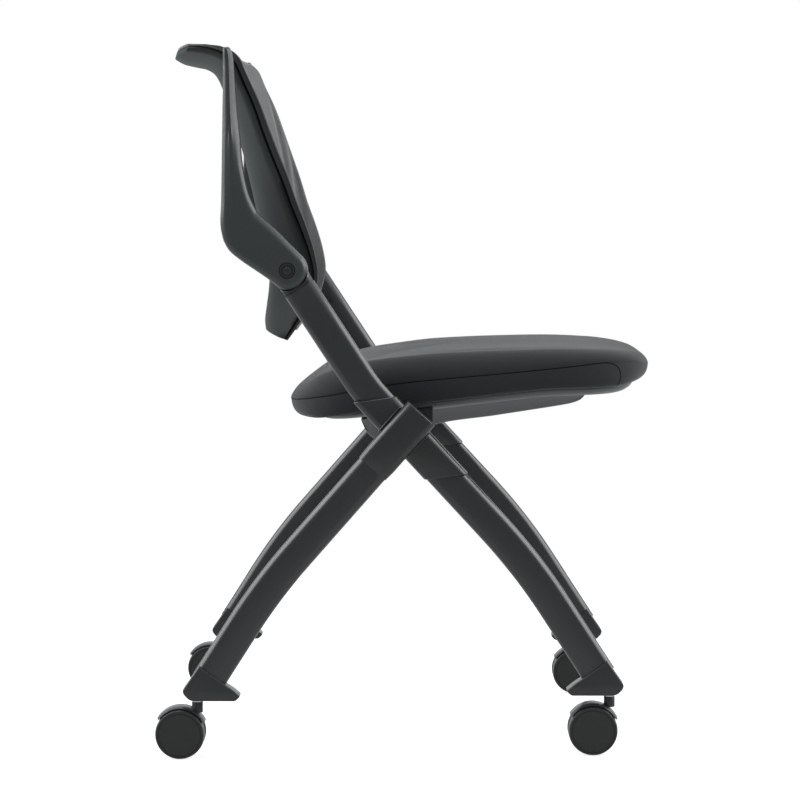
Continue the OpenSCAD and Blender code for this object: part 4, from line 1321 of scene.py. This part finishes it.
    def lay_ring(self, ring: Sequence[BMVert], share: float, level: Level, fill: bool) -> None:
        """Lays a ring of vertices on the plan.

        Args:
            ring: the vertices, in order round it.
            share: the ring's share of the plan's size.
            level: gives the height at an x.
            fill: lays it nearer the ends of the seat.
        """
        for k, v in enumerate(ring):
            x, y = self.plan(FULL_TURN * k / len(ring), share, fill)
            v.co = Vector((x, y, level(x)))

    def lofted(self, bm: BMesh, rings: Sequence[tuple[float, Level, bool]]) -> list[list[BMVert]]:
        """Extrudes a ring of the plan through shares and heights, and closes both ends in a point.

        Args:
            bm: the mesh in hand.
            rings: each ring's share of the plan, its heights, and whether it lies nearer the ends.

        Returns:
            The vertices of each ring.
        """
        ring = bmesh.ops.create_circle(bm, cap_ends=False, segments=self.points, radius=1)["verts"]
        for v in ring:
            v.co.x, v.co.y = v.co.y, -v.co.x
        laid = []
        for row in rings:
            ring = extruded(bm, ring) if laid else ring
            self.lay_ring(ring, *row)
            laid.append(ring)
        for end, (_, level, _) in ((laid[0], rings[0]), (laid[-1], rings[-1])):
            bmesh.ops.pointmerge(bm, verts=extruded(bm, end),
                                 merge_co=(self.middle, 0, level(self.middle)))
        return laid

    def between(self, low: Sequence[Point], high: Sequence[Point], share: float,
                lift: float = 0.0) -> Level:
        """Finds the heights between two tables.

        Args:
            low: the table that share 0 gives.
            high: the table that share 1 gives.
            share: the share.
            lift: what is added to the heights.

        Returns:
            The heights.
        """
        def level(x: float) -> float:
            """The height at x."""
            return (1 - share) * self.height(x, low) + share * self.height(x, high) + lift
        return level

    def cushion(self) -> None:
        """Builds the cushion: flat below, a panel, a side up to its crease, and a crowned top."""
        base = self.base
        rings = [(share, self.between(base, base, 0, self.bottom_hollow), False)
                 for share in self.hollow_rings]
        rings += [(share, self.between(base, base, 0), False) for share in self.flat_rings]
        holds = [1.0] * len(rings)
        for low, high, rows in ((base, self.seam, self.panel_rings),
                                (self.seam, self.crease, self.side_rings),
                                (self.crease, self.crown, self.top_rings)):
            rings += [(share, self.between(low, high, t), low is not base) for share, t, _ in rows]
            holds += [hold for _, _, hold in rows]
        bm = bmesh.new()
        held = bm.verts.layers.float.new("held")
        laid = self.lofted(bm, rings)
        for ring, hold in zip(laid, holds):
            for v in ring:
                v[held] = hold
        sharp = bm.edges.layers.float.new("crease_edge")
        for edge in edges_among(laid[-len(self.top_rings) - 1]):
            edge[sharp] = self.crease_sharpness
        piece = self.place(bm, "seat_upholstery", SEAT_CLOTH, "seat", ["seat_cushion"],
                           edges=Edges.CLOTH)
        self.map_cloth(piece, SEAT_CLOTH.map_name, self.on_cloth)
        self.puff(piece, self.swell)
        self.seam_line(piece)

    def on_cloth(self, point: Vector) -> Vector:
        """Finds a point's place on the cloth, which is flat on top and let down over the sides.

        Args:
            point: the point.

        Returns:
            Its place, in metres.
        """
        out = Vector((point.x - self.middle, point.y))
        drop = max(self.height(point.x, self.crown) - point.z, 0.0)
        return point.xy + out.normalized() * drop if out.length > EPS else point.xy

    def seam_line(self, cover: bpy.types.Object) -> None:
        """Lays the seam's thread round the sides and the rear, turned down at both front corners.

        Args:
            cover: the cushion's cover.
        """
        tree = BVHTree.FromObject(cover, bpy.context.evaluated_depsgraph_get())
        turn = math.radians(self.seam_end)
        marks = [(turn - math.radians(a), share) for a, share in reversed(self.seam_turn)]
        marks += [(turn + (FULL_TURN - 2 * turn) * k / self.seam_steps, 1.0)
                  for k in range(self.seam_steps + 1)]
        marks += [(FULL_TURN - turn + math.radians(a), share) for a, share in self.seam_turn]
        path = []
        for angle, share in marks:
            z = self.between(self.base, self.seam, share)(self.plan(angle, 1.0)[0])
            start, goal = (Vector((*self.plan(angle, size), z))
                           for size in (self.seam_from, self.seam_to))
            way = (goal - start).normalized()
            hit = tree.ray_cast(start, way)[0]
            if hit:
                path.append(hit + way * self.thread_sink)
        bm = bmesh.new()
        ring = rounded_ring(bm, 2 * self.thread, 2 * self.thread, self.thread - EPS,
                            self.thread_points)
        for end in sweep(bm, ring, wire_stations(path)):
            close_ring(bm, end)
        self.place(bm, "seat_seam", SEAM, "seat")

    def pan(self) -> None:
        """Builds the pan under the cushion: a dish whose side slopes in to a flat bottom."""
        def sunk(drop: float) -> Level:
            """Finds heights below the cushion's base, less deep towards the rear.

            Args:
                drop: how far below it they are at the front.

            Returns:
                The heights.
            """
            def level(x: float) -> float:
                """The height at x."""
                whole = fade((x + self.rear) / self.length, 0, self.pan_whole_from)
                depth = drop * (self.pan_shallow + (1 - self.pan_shallow) * whole)
                return self.height(x, self.base) - self.pan_gap + depth
            return level

        side = [(self.pan_share + more, sunk(drop), False)
                for more, drop in reversed(self.pan_side)]
        bm = bmesh.new()
        self.lofted(bm, [(self.pan_middle, sunk(-self.pan_depth), False), *side,
                         (self.pan_middle, sunk(0.0), False)])
        for v in bm.verts:
            if v.co.x < self.middle:
                x = self.middle - (self.middle - v.co.x) * self.pan_rear
                rise = self.height(x, self.base) - self.height(v.co.x, self.base)
                v.co += Vector((x - v.co.x, 0, rise))
        self.place(bm, "seat_underpan", PAN_PAINTED_FLOOR_REFLECTION, "seat", ["seat_pan"])

    def carrier_box(self) -> None:
        """Builds the carrier: a shallow wedge whose sides slope in, with rounded edges."""
        table = [(x * self.length, self.pivot.z + z * self.length) for x, z in self.carrier]
        rear, front = table[0][0], table[-1][0]
        half = self.carrier_width / 2
        sections = []
        for k in range(self.carrier_steps + 1):
            x = rear + (front - rear) * k / self.carrier_steps
            top = self.height(x, self.base) - self.pan_gap - self.carrier_lap
            low = min(table_at(table, x), top - self.carrier_least)
            less = min((top - low) * self.carrier_draft, self.carrier_draft_most)
            turn = min(self.carrier_round, (top - low) / 2)
            side = [(half, top), *((half - less - turn * a, low + turn * b)
                                   for a, b in self.carrier_edge)]
            sections.append([Vector((x, y, z)) for y, z in side]
                            + [Vector((x, -y, z)) for y, z in reversed(side)])
        bm = bmesh.new()
        for end in loft(bm, sections):
            close_ring(bm, end)
        self.place(bm, "seat_underframe", PAN_PAINTED_FLOOR_REFLECTION, "seat", ["seat_carrier"])

    def build(self) -> None:
        """Builds the seat's pieces and dresses its small ones."""
        self.cushion()
        self.pan()
        self.carrier_box()
        self.dress(PLY, "seat_board")
        self.dress(NYLON, "hinge_bushes")
        self.dress(DARK_STEEL, "seat_screws")


# Back


# The depth of a layer: at a station and a share of the width
Depth = Callable[[int, float], float]


@dataclass
class Back(SubAssembly):
    """Shell, pad and arms of the back. Places are shares of its height from its pivot."""

    height: float = 0.360
    width: float = 0.446
    shell_thickness: float = 0.0045
    rim_thickness: float = 0.0014
    rim_from: float = 0.93
    rim_power: float = 1.5
    groove: float = 0.0017
    edging_share: float = 0.62
    edging_out: float = 0.0006
    # How far the edging goes past the ends, in stations: down in the middle, and up. It goes less
    # far down at the sides, by a share.
    edging_past: tuple[float, float] = (1.3, -0.15)
    edging_rise: float = 0.5
    insert_thickness: float = 0.0022
    insert_trim: float = 0.0035
    gap: float = 0.0003
    pad_middle: float = 0.015
    pad_rim: float = 0.006
    pad_power: float = 3.0
    swell: float = 0.0018
    steps: int = 5
    across: int = 56
    # How far the columns are drawn towards the sides, from 0 to 1
    drawn: float = 0.35
    arm_height: float = 0.265
    arm_thickness: float = 0.026
    arm_tip: float = 0.018
    arm_into: float = 0.228
    # Rounding of the outer edge, and the most that it takes of half the width and of the thickness
    arm_round: float = 0.0095
    arm_round_most: tuple[float, float] = (0.88, 0.62)
    arm_round_steps: int = 6
    arm_inner_round: float = 0.003
    arm_inner_most: float = 0.4
    arm_inner_steps: int = 4
    # The ridge's height, where on the arm's run it fades, and where a face bends beside it
    arm_crown: float = 0.0028
    crown_fade: tuple[float, float] = (0.42, 0.62)
    crown_bend: Point = (0.84, 0.12)
    # The ridge's share at the tip, and the run over which it grows to its whole height
    crown_tip: float = 0.3
    crown_grows: float = 0.05
    # How flat the front edge's rounding is near the tip, and where on the run that fades
    arm_bevel: float = 0.85
    bevel_fade: tuple[float, float] = (0.48, 0.20)
    thick_from: float = 0.95
    tip_round: float = 0.003
    tip_angles: tuple[float, ...] = (72, 48, 24)
    elbow: tuple[int, int] = (6, 7)
    # Steps of the curve between two points of an edge, then from the tip to the elbow and on to
    # the boss, round the boss, and of the section's turn towards it
    curve_steps: int = 6
    arm_steps: tuple[int, int] = (34, 26)
    boss_steps: int = 26
    hub_steps: int = 12
    recess: float = 0.010
    recess_depth: float = 0.0025
    recess_proud: float = 0.004
    # Rear face in the middle (x, z), front of the shell at its edge (x, z), and shares of the
    # width, of the pad's thickness and of its thickness at the rim
    rows: tuple[tuple[float, ...], ...] = (
        (-0.103, -0.218, -0.020, -0.240, 0.655, 0.40, 0.30),
        (-0.106, -0.185, -0.004, -0.215, 0.680, 0.60, 0.35),
        (-0.100, -0.135, 0.037, -0.150, 0.692, 0.85, 0.45),
        (-0.093, -0.080, 0.066, -0.085, 0.697, 0.95, 0.50),
        (-0.091, -0.020, 0.077, -0.020, 0.705, 1, 0.60),
        (-0.104, 0.055, 0.062, 0.055, 0.718, 1, 0.80),
        (-0.120, 0.130, 0.034, 0.135, 0.742, 1, 1),
        (-0.138, 0.210, 0.003, 0.215, 0.785, 1, 1),
        (-0.156, 0.290, -0.024, 0.295, 0.850, 1, 1),
        (-0.175, 0.370, -0.053, 0.370, 0.920, 1, 1),
        (-0.198, 0.455, -0.084, 0.455, 0.972, 1, 1),
        (-0.226, 0.545, -0.115, 0.545, 0.998, 1, 1),
        (-0.252, 0.620, -0.150, 0.625, 1, 1.05, 1),
        (-0.276, 0.664, -0.180, 0.690, 0.988, 1.10, 1),
        (-0.310, 0.686, -0.218, 0.718, 0.965, 0.95, 0.90),
        (-0.350, 0.695, -0.262, 0.734, 0.935, 0.65, 0.50),
        (-0.388, 0.704, -0.305, 0.741, 0.895, 0.42, 0.25),
        (-0.414, 0.718, -0.335, 0.743, 0.850, 0.30, 0.20),
    )
    arm_rear: tuple[Point, ...] = (
        (-0.011, -0.091), (-0.034, -0.081), (-0.082, -0.042), (-0.140, -0.002), (-0.204, 0.041),
        (-0.260, 0.087), (-0.287, 0.133), (-0.298, 0.178), (-0.302, 0.228), (-0.298, 0.314),
        (-0.294, 0.540), (-0.290, 0.760), (-0.288, 0.830), (-0.287, 0.990),
    )
    arm_front: tuple[Point, ...] = (
        (-0.254, 0.990), (-0.2425, 0.950), (-0.234, 0.830), (-0.225, 0.715), (-0.212, 0.600),
        (-0.200, 0.470), (-0.174, 0.345), (-0.136, 0.262), (-0.110, 0.236), (-0.070, 0.200),
        (-0.029, 0.160), (0.020, 0.109), (0.063, 0.0667),
    )

    @cached_property
    def pivot(self) -> Vector:
        """Where the arms turn, in the side view."""
        return pivot_of("back_recline")

    @cached_property
    def stations(self) -> list[list[float]]:
        """The table's rows with smooth ones between them."""
        rows = [self.rows[0], *self.rows, self.rows[-1]]
        out = [[passing(*values, i / self.steps) for values in zip(*four)]
               for four in zip(rows, rows[1:], rows[2:], rows[3:]) for i in range(self.steps)]
        return [*out, list(self.rows[-1])]

    def lines(self, i: int) -> tuple[Vector, Vector]:
        """The middle's and the edge's point of station i, in the side view."""
        s = self.stations[i]
        return self.pivot + self.height * Vector(s[0:2]), self.pivot + self.height * Vector(s[2:4])

    @cached_property
    def forward(self) -> list[Vector]:
        """The direction to the front of the back at each station."""
        out = []
        last = len(self.stations) - 1
        for i in range(last + 1):
            (m0, e0), (m1, e1) = self.lines(max(i - 1, 0)), self.lines(min(i + 1, last))
            run = (m1 - m0 + e1 - e0).normalized()
            out.append(Vector((run.y, -run.x)))
        return out

    def surface(self, i: int, share: float, depth: float, trim: float = 0.0) -> Vector:
        """Finds a point of the back.

        Args:
            i: the station.
            share: how far out, from -1 to 1.
            depth: distance in front of the shell's rear face.
            trim: how much less wide the layer is on each side.

        Returns:
            The point.
        """
        half = self.stations[i][4] * self.width / 2
        y = share * (half - trim)
        middle, edge = self.lines(i)
        rear_edge = edge - self.shell_thickness * self.forward[i]
        p = middle.lerp(rear_edge, (y / half) ** 2) + depth * self.forward[i]
        return Vector((p.x, y, p.y))

    def layer(self, depth: Depth, rear: Depth, trim: float = 0.0,
              past: tuple[float, float] | None = None) -> BMesh:
        """Makes a layer of the back: a grid laid on its front, drawn back to its rear.

        Args:
            depth: the front's depth at a station and a share of the width.
            rear: the rear's depth, in the same way.
            trim: how much less wide it is on each side.
            past: how many stations it goes past its lower and its upper end.

        Returns:
            The closed mesh, with the attribute "held" 0 inside its front and 1 elsewhere.
        """
        bm = bmesh.new()
        held = bm.verts.layers.float.new("held")
        tall = len(self.stations) - 1
        grid = bmesh.ops.create_grid(bm, x_segments=self.across, y_segments=tall, size=0.5)["verts"]
        where = {}
        for v in grid:
            raw = 2 * v.co.x
            drawn = math.sin(raw * math.pi / 2) * self.drawn + raw * (1 - self.drawn)
            where[v] = round((v.co.y + 0.5) * tall), drawn
        edge = {v for e in bm.edges if e.is_boundary for v in e.verts}
        whole = [*bm.verts, *bm.edges, *bm.faces]
        twin = bmesh.ops.duplicate(bm, geom=whole)["vert_map"]
        for v, (i, share) in where.items():
            twin[v][held] = 1.0
            v[held] = 1.0 if v in edge else 0.0
            for vert, deep in ((v, depth), (twin[v], rear)):
                vert.co = self.surface(i, share, deep(i, share), trim)
                if past and i in (0, tall):
                    beside = 1 if i == 0 else tall - 1
                    reach = past[0] * (1 - self.edging_rise * share * share) if i == 0 else past[1]
                    vert.co += (vert.co - self.surface(beside, share, deep(i, share), trim)) * reach
        bmesh.ops.bridge_loops(bm, edges=[e for e in bm.edges if e.is_boundary])
        return bm

    def shell(self) -> None:
        """Builds the moulded shell behind the pad."""
        def rear(i: int, share: float) -> float:
            """The rear's depth: the rim is thin."""
            near_rim = fade(abs(share), self.rim_from, 1.0)
            return (self.shell_thickness - self.rim_thickness) * near_rim ** self.rim_power

        bm = self.layer(lambda i, s: self.shell_thickness, rear)
        self.place(bm, "back_moulding", SHELL, "back", ["back_shell"], edges=Edges.SOFT)

    @property
    def insert_front(self) -> float:
        """Depth of the front of the board that carries the pad."""
        return self.shell_thickness + self.insert_thickness

    def insert(self) -> None:
        """Builds the board that carries the pad, drawn in to leave a groove."""
        rear = self.shell_thickness + self.gap
        bm = self.layer(lambda i, s: self.insert_front, lambda i, s: rear, self.insert_trim)
        self.place(bm, "back_insert", INSERT_PAINTED_SHADE, "back", ["pad_insert"], edges=Edges.SOFT)

    def pad_edge(self, i: int, share: float = 1.0) -> float:
        """The depth at station i of a share of the pad's rim."""
        return self.insert_front + self.gap + share * self.stations[i][6] * self.pad_rim

    def edging(self) -> None:
        """Builds the strip round the pad, over the groove, that the cover is tucked behind."""
        bm = self.layer(lambda i, s: self.pad_edge(i, self.edging_share),
                        lambda i, s: self.shell_thickness + self.groove, -self.edging_out,
                        self.edging_past)
        self.place(bm, "back_edging", EDGING, "back", edges=Edges.SOFT)

    def pad(self) -> None:
        """Builds the pad: taut cloth over foam, rounded into its edge."""
        rear = self.insert_front + self.gap

        def depth(i: int, share: float) -> float:
            """The front's depth: full in the middle, drawn in near the edge."""
            edge = self.pad_edge(i)
            middle = rear + self.stations[i][5] * self.pad_middle
            return edge + (middle - edge) * math.sqrt(max(1 - abs(share) ** self.pad_power, 0.0))

        bm = self.layer(depth, lambda i, s: rear)
        piece = self.place(bm, "back_upholstery", BACK_CLOTH, "back", ["back_pad"],
                           edges=Edges.CLOTH)
        self.map_cloth(piece, BACK_CLOTH.map_name, lambda p: (p.y, p.z - p.x))
        self.puff(piece, self.swell)

    def arm_edges(self) -> list[tuple[Vector, Vector]]:
        """Pairs the arm's rear edge with its front edge, from its tip down to its boss."""
        def at(point: Sequence[float]) -> Point:
            """The place of a share of the arm's height."""
            return tuple(self.pivot + self.arm_height * Vector(point))

        nose = Vector(self.arm_front[-1]).normalized() * Vector(self.arm_rear[0]).length
        rear = [at(p) for p in reversed(self.arm_rear)]
        front = [at(p) for p in (*self.arm_front[:-1], nose)]
        bend, front_bend = len(rear) - 1 - self.elbow[0], self.elbow[1]
        pairs = []
        for one, other, count in zip((rear[:bend + 1], rear[bend:]),
                                     (front[:front_bend + 1], front[front_bend:]), self.arm_steps):
            lines = [resampled(smooth_through(line, self.curve_steps), count)
                     for line in (one, other)]
            pairs += list(zip(*lines))[1 if pairs else 0:]
        return pairs

    def arm_section(self, rear: Vector, front: Vector, hub: Vector, run: float,
                    side: Side) -> list[Vector]:
        """Draws the arm's section at one place of its run.

        Args:
            rear: its point on the rear edge.
            front: its point on the front edge.
            hub: the point between them where the section bends.
            run: how far down the arm it is, from 0 at the tip to 1 at the boss.
            side: the chair's side.

        Returns:
            The ring, from the middle of the outer face towards the front and round by the inner
            face.
        """
        thick = self.arm_tip + (self.arm_thickness - self.arm_tip) * fade(run, 0, self.thick_from)
        crown = (self.arm_crown * (1 - fade(run, *self.crown_fade))
                 * min(1.0, run / self.crown_grows + self.crown_tip))
        bevelled = fade(run, *self.bevel_fade) * self.arm_bevel
        halves = []
        for edge, flat in ((front, bevelled), (rear, 0.0)):
            half = (edge - hub).length
            most = self.arm_round_most
            outer = min(self.arm_round, most[0] * half, most[1] * thick)
            inner = min(self.arm_inner_round, self.arm_inner_most * half)
            marks = [(self.crown_bend[0] * half, thick - self.crown_bend[1] * crown)]
            top = thick - crown * (1 - outer / half / 2)
            centre = (outer, top - outer)
            turned = arc(centre, outer, 90, 180, self.arm_round_steps)
            for k, mark in enumerate(turned):
                straight = Vector((outer, top)).lerp(Vector((0, top - outer)),
                                                     k / self.arm_round_steps)
                marks.append(tuple(Vector(mark).lerp(straight, flat)))
            marks += arc((inner, inner), inner, 180, 270, self.arm_inner_steps)
            halves.append([(hub.lerp(edge, 1 - d / half), y) for d, y in marks])
        ring = [(hub, thick), *halves[0], (hub, 0.0), *reversed(halves[1])]
        return [in_space(p, side.value * (self.arm_into + y)) for p, y in ring]

    def arm_rings(self, pairs: Sequence[tuple[Vector, Vector]], side: Side) -> list[list[Vector]]:
        """Draws the arm's sections from its rounded tip down to its boss.

        Args:
            pairs: the arm's edges, as arm_edges() gives them.
            side: the chair's side.

        Returns:
            The rings.
        """
        last = len(pairs) - 1
        rings = []
        for k, (rear, front) in enumerate(pairs):
            pull = max(0.0, 1 - (last - k) / self.hub_steps)
            hub = rear.lerp(front, 0.5).lerp(self.pivot, pull * pull * (3 - 2 * pull))
            rings.append(self.arm_section(rear, front, hub, k / last, side))
        centre = sum(rings[0], Vector()) / len(rings[0])
        rise = in_space(pairs[0][0] - pairs[1][0]).normalized() * self.tip_round
        tips = [[centre + (p - centre) * math.cos(t) + rise * math.sin(t) for p in rings[0]]
                for t in map(math.radians, self.tip_angles)]
        return tips + rings

    def arm(self, side: Side) -> None:
        """Builds an arm: a bar with a soft ridge that widens downwards, turned round its boss.

        Args:
            side: the chair's side.
        """
        pairs = self.arm_edges()
        bm = bmesh.new()
        first, end = loft(bm, self.arm_rings(pairs, side))
        close_ring(bm, first)
        half = end[:len(end) // 2 + 1]
        ends = {half[0], half[-1]}
        edges = [e for e in edges_among(half) if set(e.verts) != ends]
        nose, tail = (p - self.pivot for p in reversed(pairs[-1]))
        angle = math.atan2(nose.y, nose.x) - math.atan2(tail.y, tail.x)
        centre = in_space(self.pivot)
        bmesh.ops.spin(bm, geom=half + edges, cent=centre, axis=(0, 1, 0), angle=angle,
                       steps=self.boss_steps, use_merge=False, use_duplicate=False)
        bmesh.ops.remove_doubles(bm, verts=list(bm.verts), dist=10 * EPS)
        piece = self.place(bm, f"back_arm_{side.word}", ARM_PAINTED_LIGHT, "back", [f"{side.word}_back_arm"],
                           edges=Edges.SOFT)
        face = self.arm_into + self.arm_thickness
        proud, floor = (side.value * (face + rise)
                        for rise in (self.recess_proud, -self.recess_depth))
        cutter = bmesh.new()
        lathe(cutter, [(0, proud), (self.recess, proud), (self.recess, floor), (0, floor)], centre)
        self.carve(piece, cutter)

    def build(self) -> None:
        """Builds the back's pieces and dresses its small ones."""
        self.shell()
        self.insert()
        self.edging()
        self.pad()
        for side in Side:
            self.arm(side)
        self.dress(NYLON, "pivot_bushes")
        self.dress(RUBBER, "torsion_rings")
        self.dress(DARK_STEEL, "arm_screws")


# Studio


@dataclass(frozen=True)
class Lamp:
    """A soft box: its name, where it hangs, its width and height, and how bright its face is."""

    name: str
    place: tuple[float, float, float]
    size: tuple[float, float]
    radiance: float


@dataclass
class Studio:
    """White backdrop and floor, soft boxes on both sides and overhead, and the camera."""

    camera_place: tuple[float, float, float] = (0.0235, -4.116, 0.6752)
    camera_tilt: float = -3.695
    camera_turn: float = 0.423
    lens: float = 146.34
    sensor: float = 36.0
    floor_size: float = 3.2
    floor_colour: Colour = (0.50, 0.50, 0.50)
    floor_glow: float = 0.76
    floor_in_gloss: float = 0.20
    light_colour: Colour = (0.93, 1.0, 1.01)
    ambient: float = 0.34
    # In gloss the room is dim on the near side, and bright towards the far side and overhead: its
    # strengths, how much height counts against depth, and where the one fades into the other
    room: tuple[float, float] = (0.36, 1.0)
    room_height: float = 1.5
    room_fade: tuple[float, float] = (0.62, 0.96)
    lamps: tuple[Lamp, ...] = (
        Lamp("roof", (0.0, 0.2, 2.9), (1.5, 1.5), 2.4),
        Lamp("left_box", (-2.3, 0.0, 1.60), (2.8, 1.85), 4.2),
        Lamp("right_box", (2.3, 0.0, 1.60), (2.8, 1.85), 4.2),
    )
    lamp_aim: tuple[float, float, float] = (0, 0, 0.45)

    def stand(self, thing: bpy.types.Object) -> bpy.types.Object:
        """Puts an object in the scene and returns it."""
        bpy.context.scene.collection.objects.link(thing)
        return thing

    def camera(self) -> None:
        """Places the camera where the photograph was taken from."""
        data = bpy.data.cameras.new("camera")
        data.lens = self.lens
        data.sensor_width = self.sensor
        data.sensor_fit = "HORIZONTAL"
        camera = self.stand(bpy.data.objects.new("camera", data))
        camera.location = self.camera_place
        camera.rotation_euler = (math.radians(90 + self.camera_tilt), 0,
                                 math.radians(self.camera_turn))
        bpy.context.scene.camera = camera

    def seen(self, graph: Graph, path: bpy.types.Node,
             *more: bpy.types.NodeSocket) -> bpy.types.NodeSocket:
        """Adds nodes that tell where the white backdrop is seen.

        Args:
            graph: the shader in hand.
            path: its Light Path node.
            *more: other shares of the white.

        Returns:
            The largest of them.
        """
        return self.largest(graph, path.outputs["Is Camera Ray"],
                            path.outputs["Is Transmission Ray"], *more)

    def largest(self, graph: Graph, first: bpy.types.NodeSocket,
                *more: bpy.types.NodeSocket) -> bpy.types.NodeSocket:
        """Adds nodes that give the largest of some values.

        Args:
            graph: the shader in hand.
            first: a value.
            *more: the others.

        Returns:
            The largest.
        """
        for other in more:
            first = graph.calc("MAXIMUM", first, other)
        return first

    def floor(self) -> None:
        """Lays a white floor that keeps the chair's shadow, seen so by the camera and in gloss."""
        bm = bmesh.new()
        bmesh.ops.create_grid(bm, x_segments=1, y_segments=1, size=self.floor_size / 2)
        mesh = bpy.data.meshes.new("floor")
        bm.to_mesh(mesh)
        bm.free()
        graph = Graph(bpy.data.materials.new("floor"))
        path = graph.add("LightPath")
        gloss = graph.calc("MULTIPLY", path.outputs["Is Glossy Ray"], self.floor_in_gloss)
        diffuse = graph.add("BsdfDiffuse", {"Color": (*self.floor_colour, 1)}).outputs["BSDF"]
        glow = graph.add("Emission", {"Color": (1, 1, 1, 1), "Strength": self.floor_glow})
        lifted = graph.add("AddShader", {0: diffuse, 1: glow.outputs["Emission"]})
        mixed = graph.add("MixShader", {0: self.seen(graph, path, gloss), 1: diffuse,
                                        2: lifted.outputs["Shader"]})
        mesh.materials.append(graph.finish(mixed.outputs["Shader"]))
        self.stand(bpy.data.objects.new("floor", mesh))

    def world(self) -> None:
        """Surrounds the chair with a white backdrop, dim in gloss low down on the near side."""
        world = bpy.data.worlds.new("studio")
        bpy.context.scene.world = world
        graph = Graph(world)
        path = graph.add("LightPath")
        place = graph.add("TexCoord").outputs["Generated"]
        way = graph.add("SeparateXYZ", {"Vector": place}).outputs
        reach = self.largest(graph, graph.calc("MULTIPLY", way["Z"], self.room_height), way["Y"])
        room = graph.add("MapRange", {
            "Value": reach, "From Min": self.room_fade[0], "From Max": self.room_fade[1],
            "To Min": self.room[0], "To Max": self.room[1],
        }, interpolation_type="SMOOTHSTEP").outputs["Result"]
        power = graph.add("Mix", {"Factor": path.outputs["Is Glossy Ray"], "A": self.ambient,
                                  "B": room}, data_type="FLOAT").outputs[0]
        light = graph.add("Background", {"Color": (*self.light_colour, 1), "Strength": power})
        white = graph.add("Background", {"Color": (1, 1, 1, 1), "Strength": 1.0})
        mixed = graph.add("MixShader", {0: self.seen(graph, path), 1: light.outputs[0],
                                        2: white.outputs[0]})
        graph.finish(mixed.outputs[0])

    def hang(self, lamp: Lamp) -> None:
        """Hangs a soft box that looks at the seat.

        Args:
            lamp: the box; a face of radiance 1 is white.
        """
        data = bpy.data.lights.new(lamp.name, "AREA")
        data.shape = "RECTANGLE"
        data.size, data.size_y = lamp.size
        data.energy = lamp.radiance * math.pi * data.size * data.size_y
        box = self.stand(bpy.data.objects.new(lamp.name, data))
        box.location = lamp.place
        way = Vector(self.lamp_aim) - Vector(lamp.place)
        box.rotation_euler = way.to_track_quat("-Z", "Y").to_euler()

    def build(self) -> None:
        """Sets the whole studio."""
        self.camera()
        self.floor()
        self.world()
        for lamp in self.lamps:
            self.hang(lamp)
        bpy.context.scene.view_settings.view_transform = "Standard"


def main() -> None:
    """Builds the chair and its studio, and reports each piece."""
    logging.basicConfig(level=logging.INFO, format="%(name)s: %(message)s")
    Studio().build()
    TubeFrame().build()
    for end in End:
        for side in Side:
            Caster(end=end, side=side).build()
    Seat().build()
    Back().build()


if __name__ == "__main__":
    main()
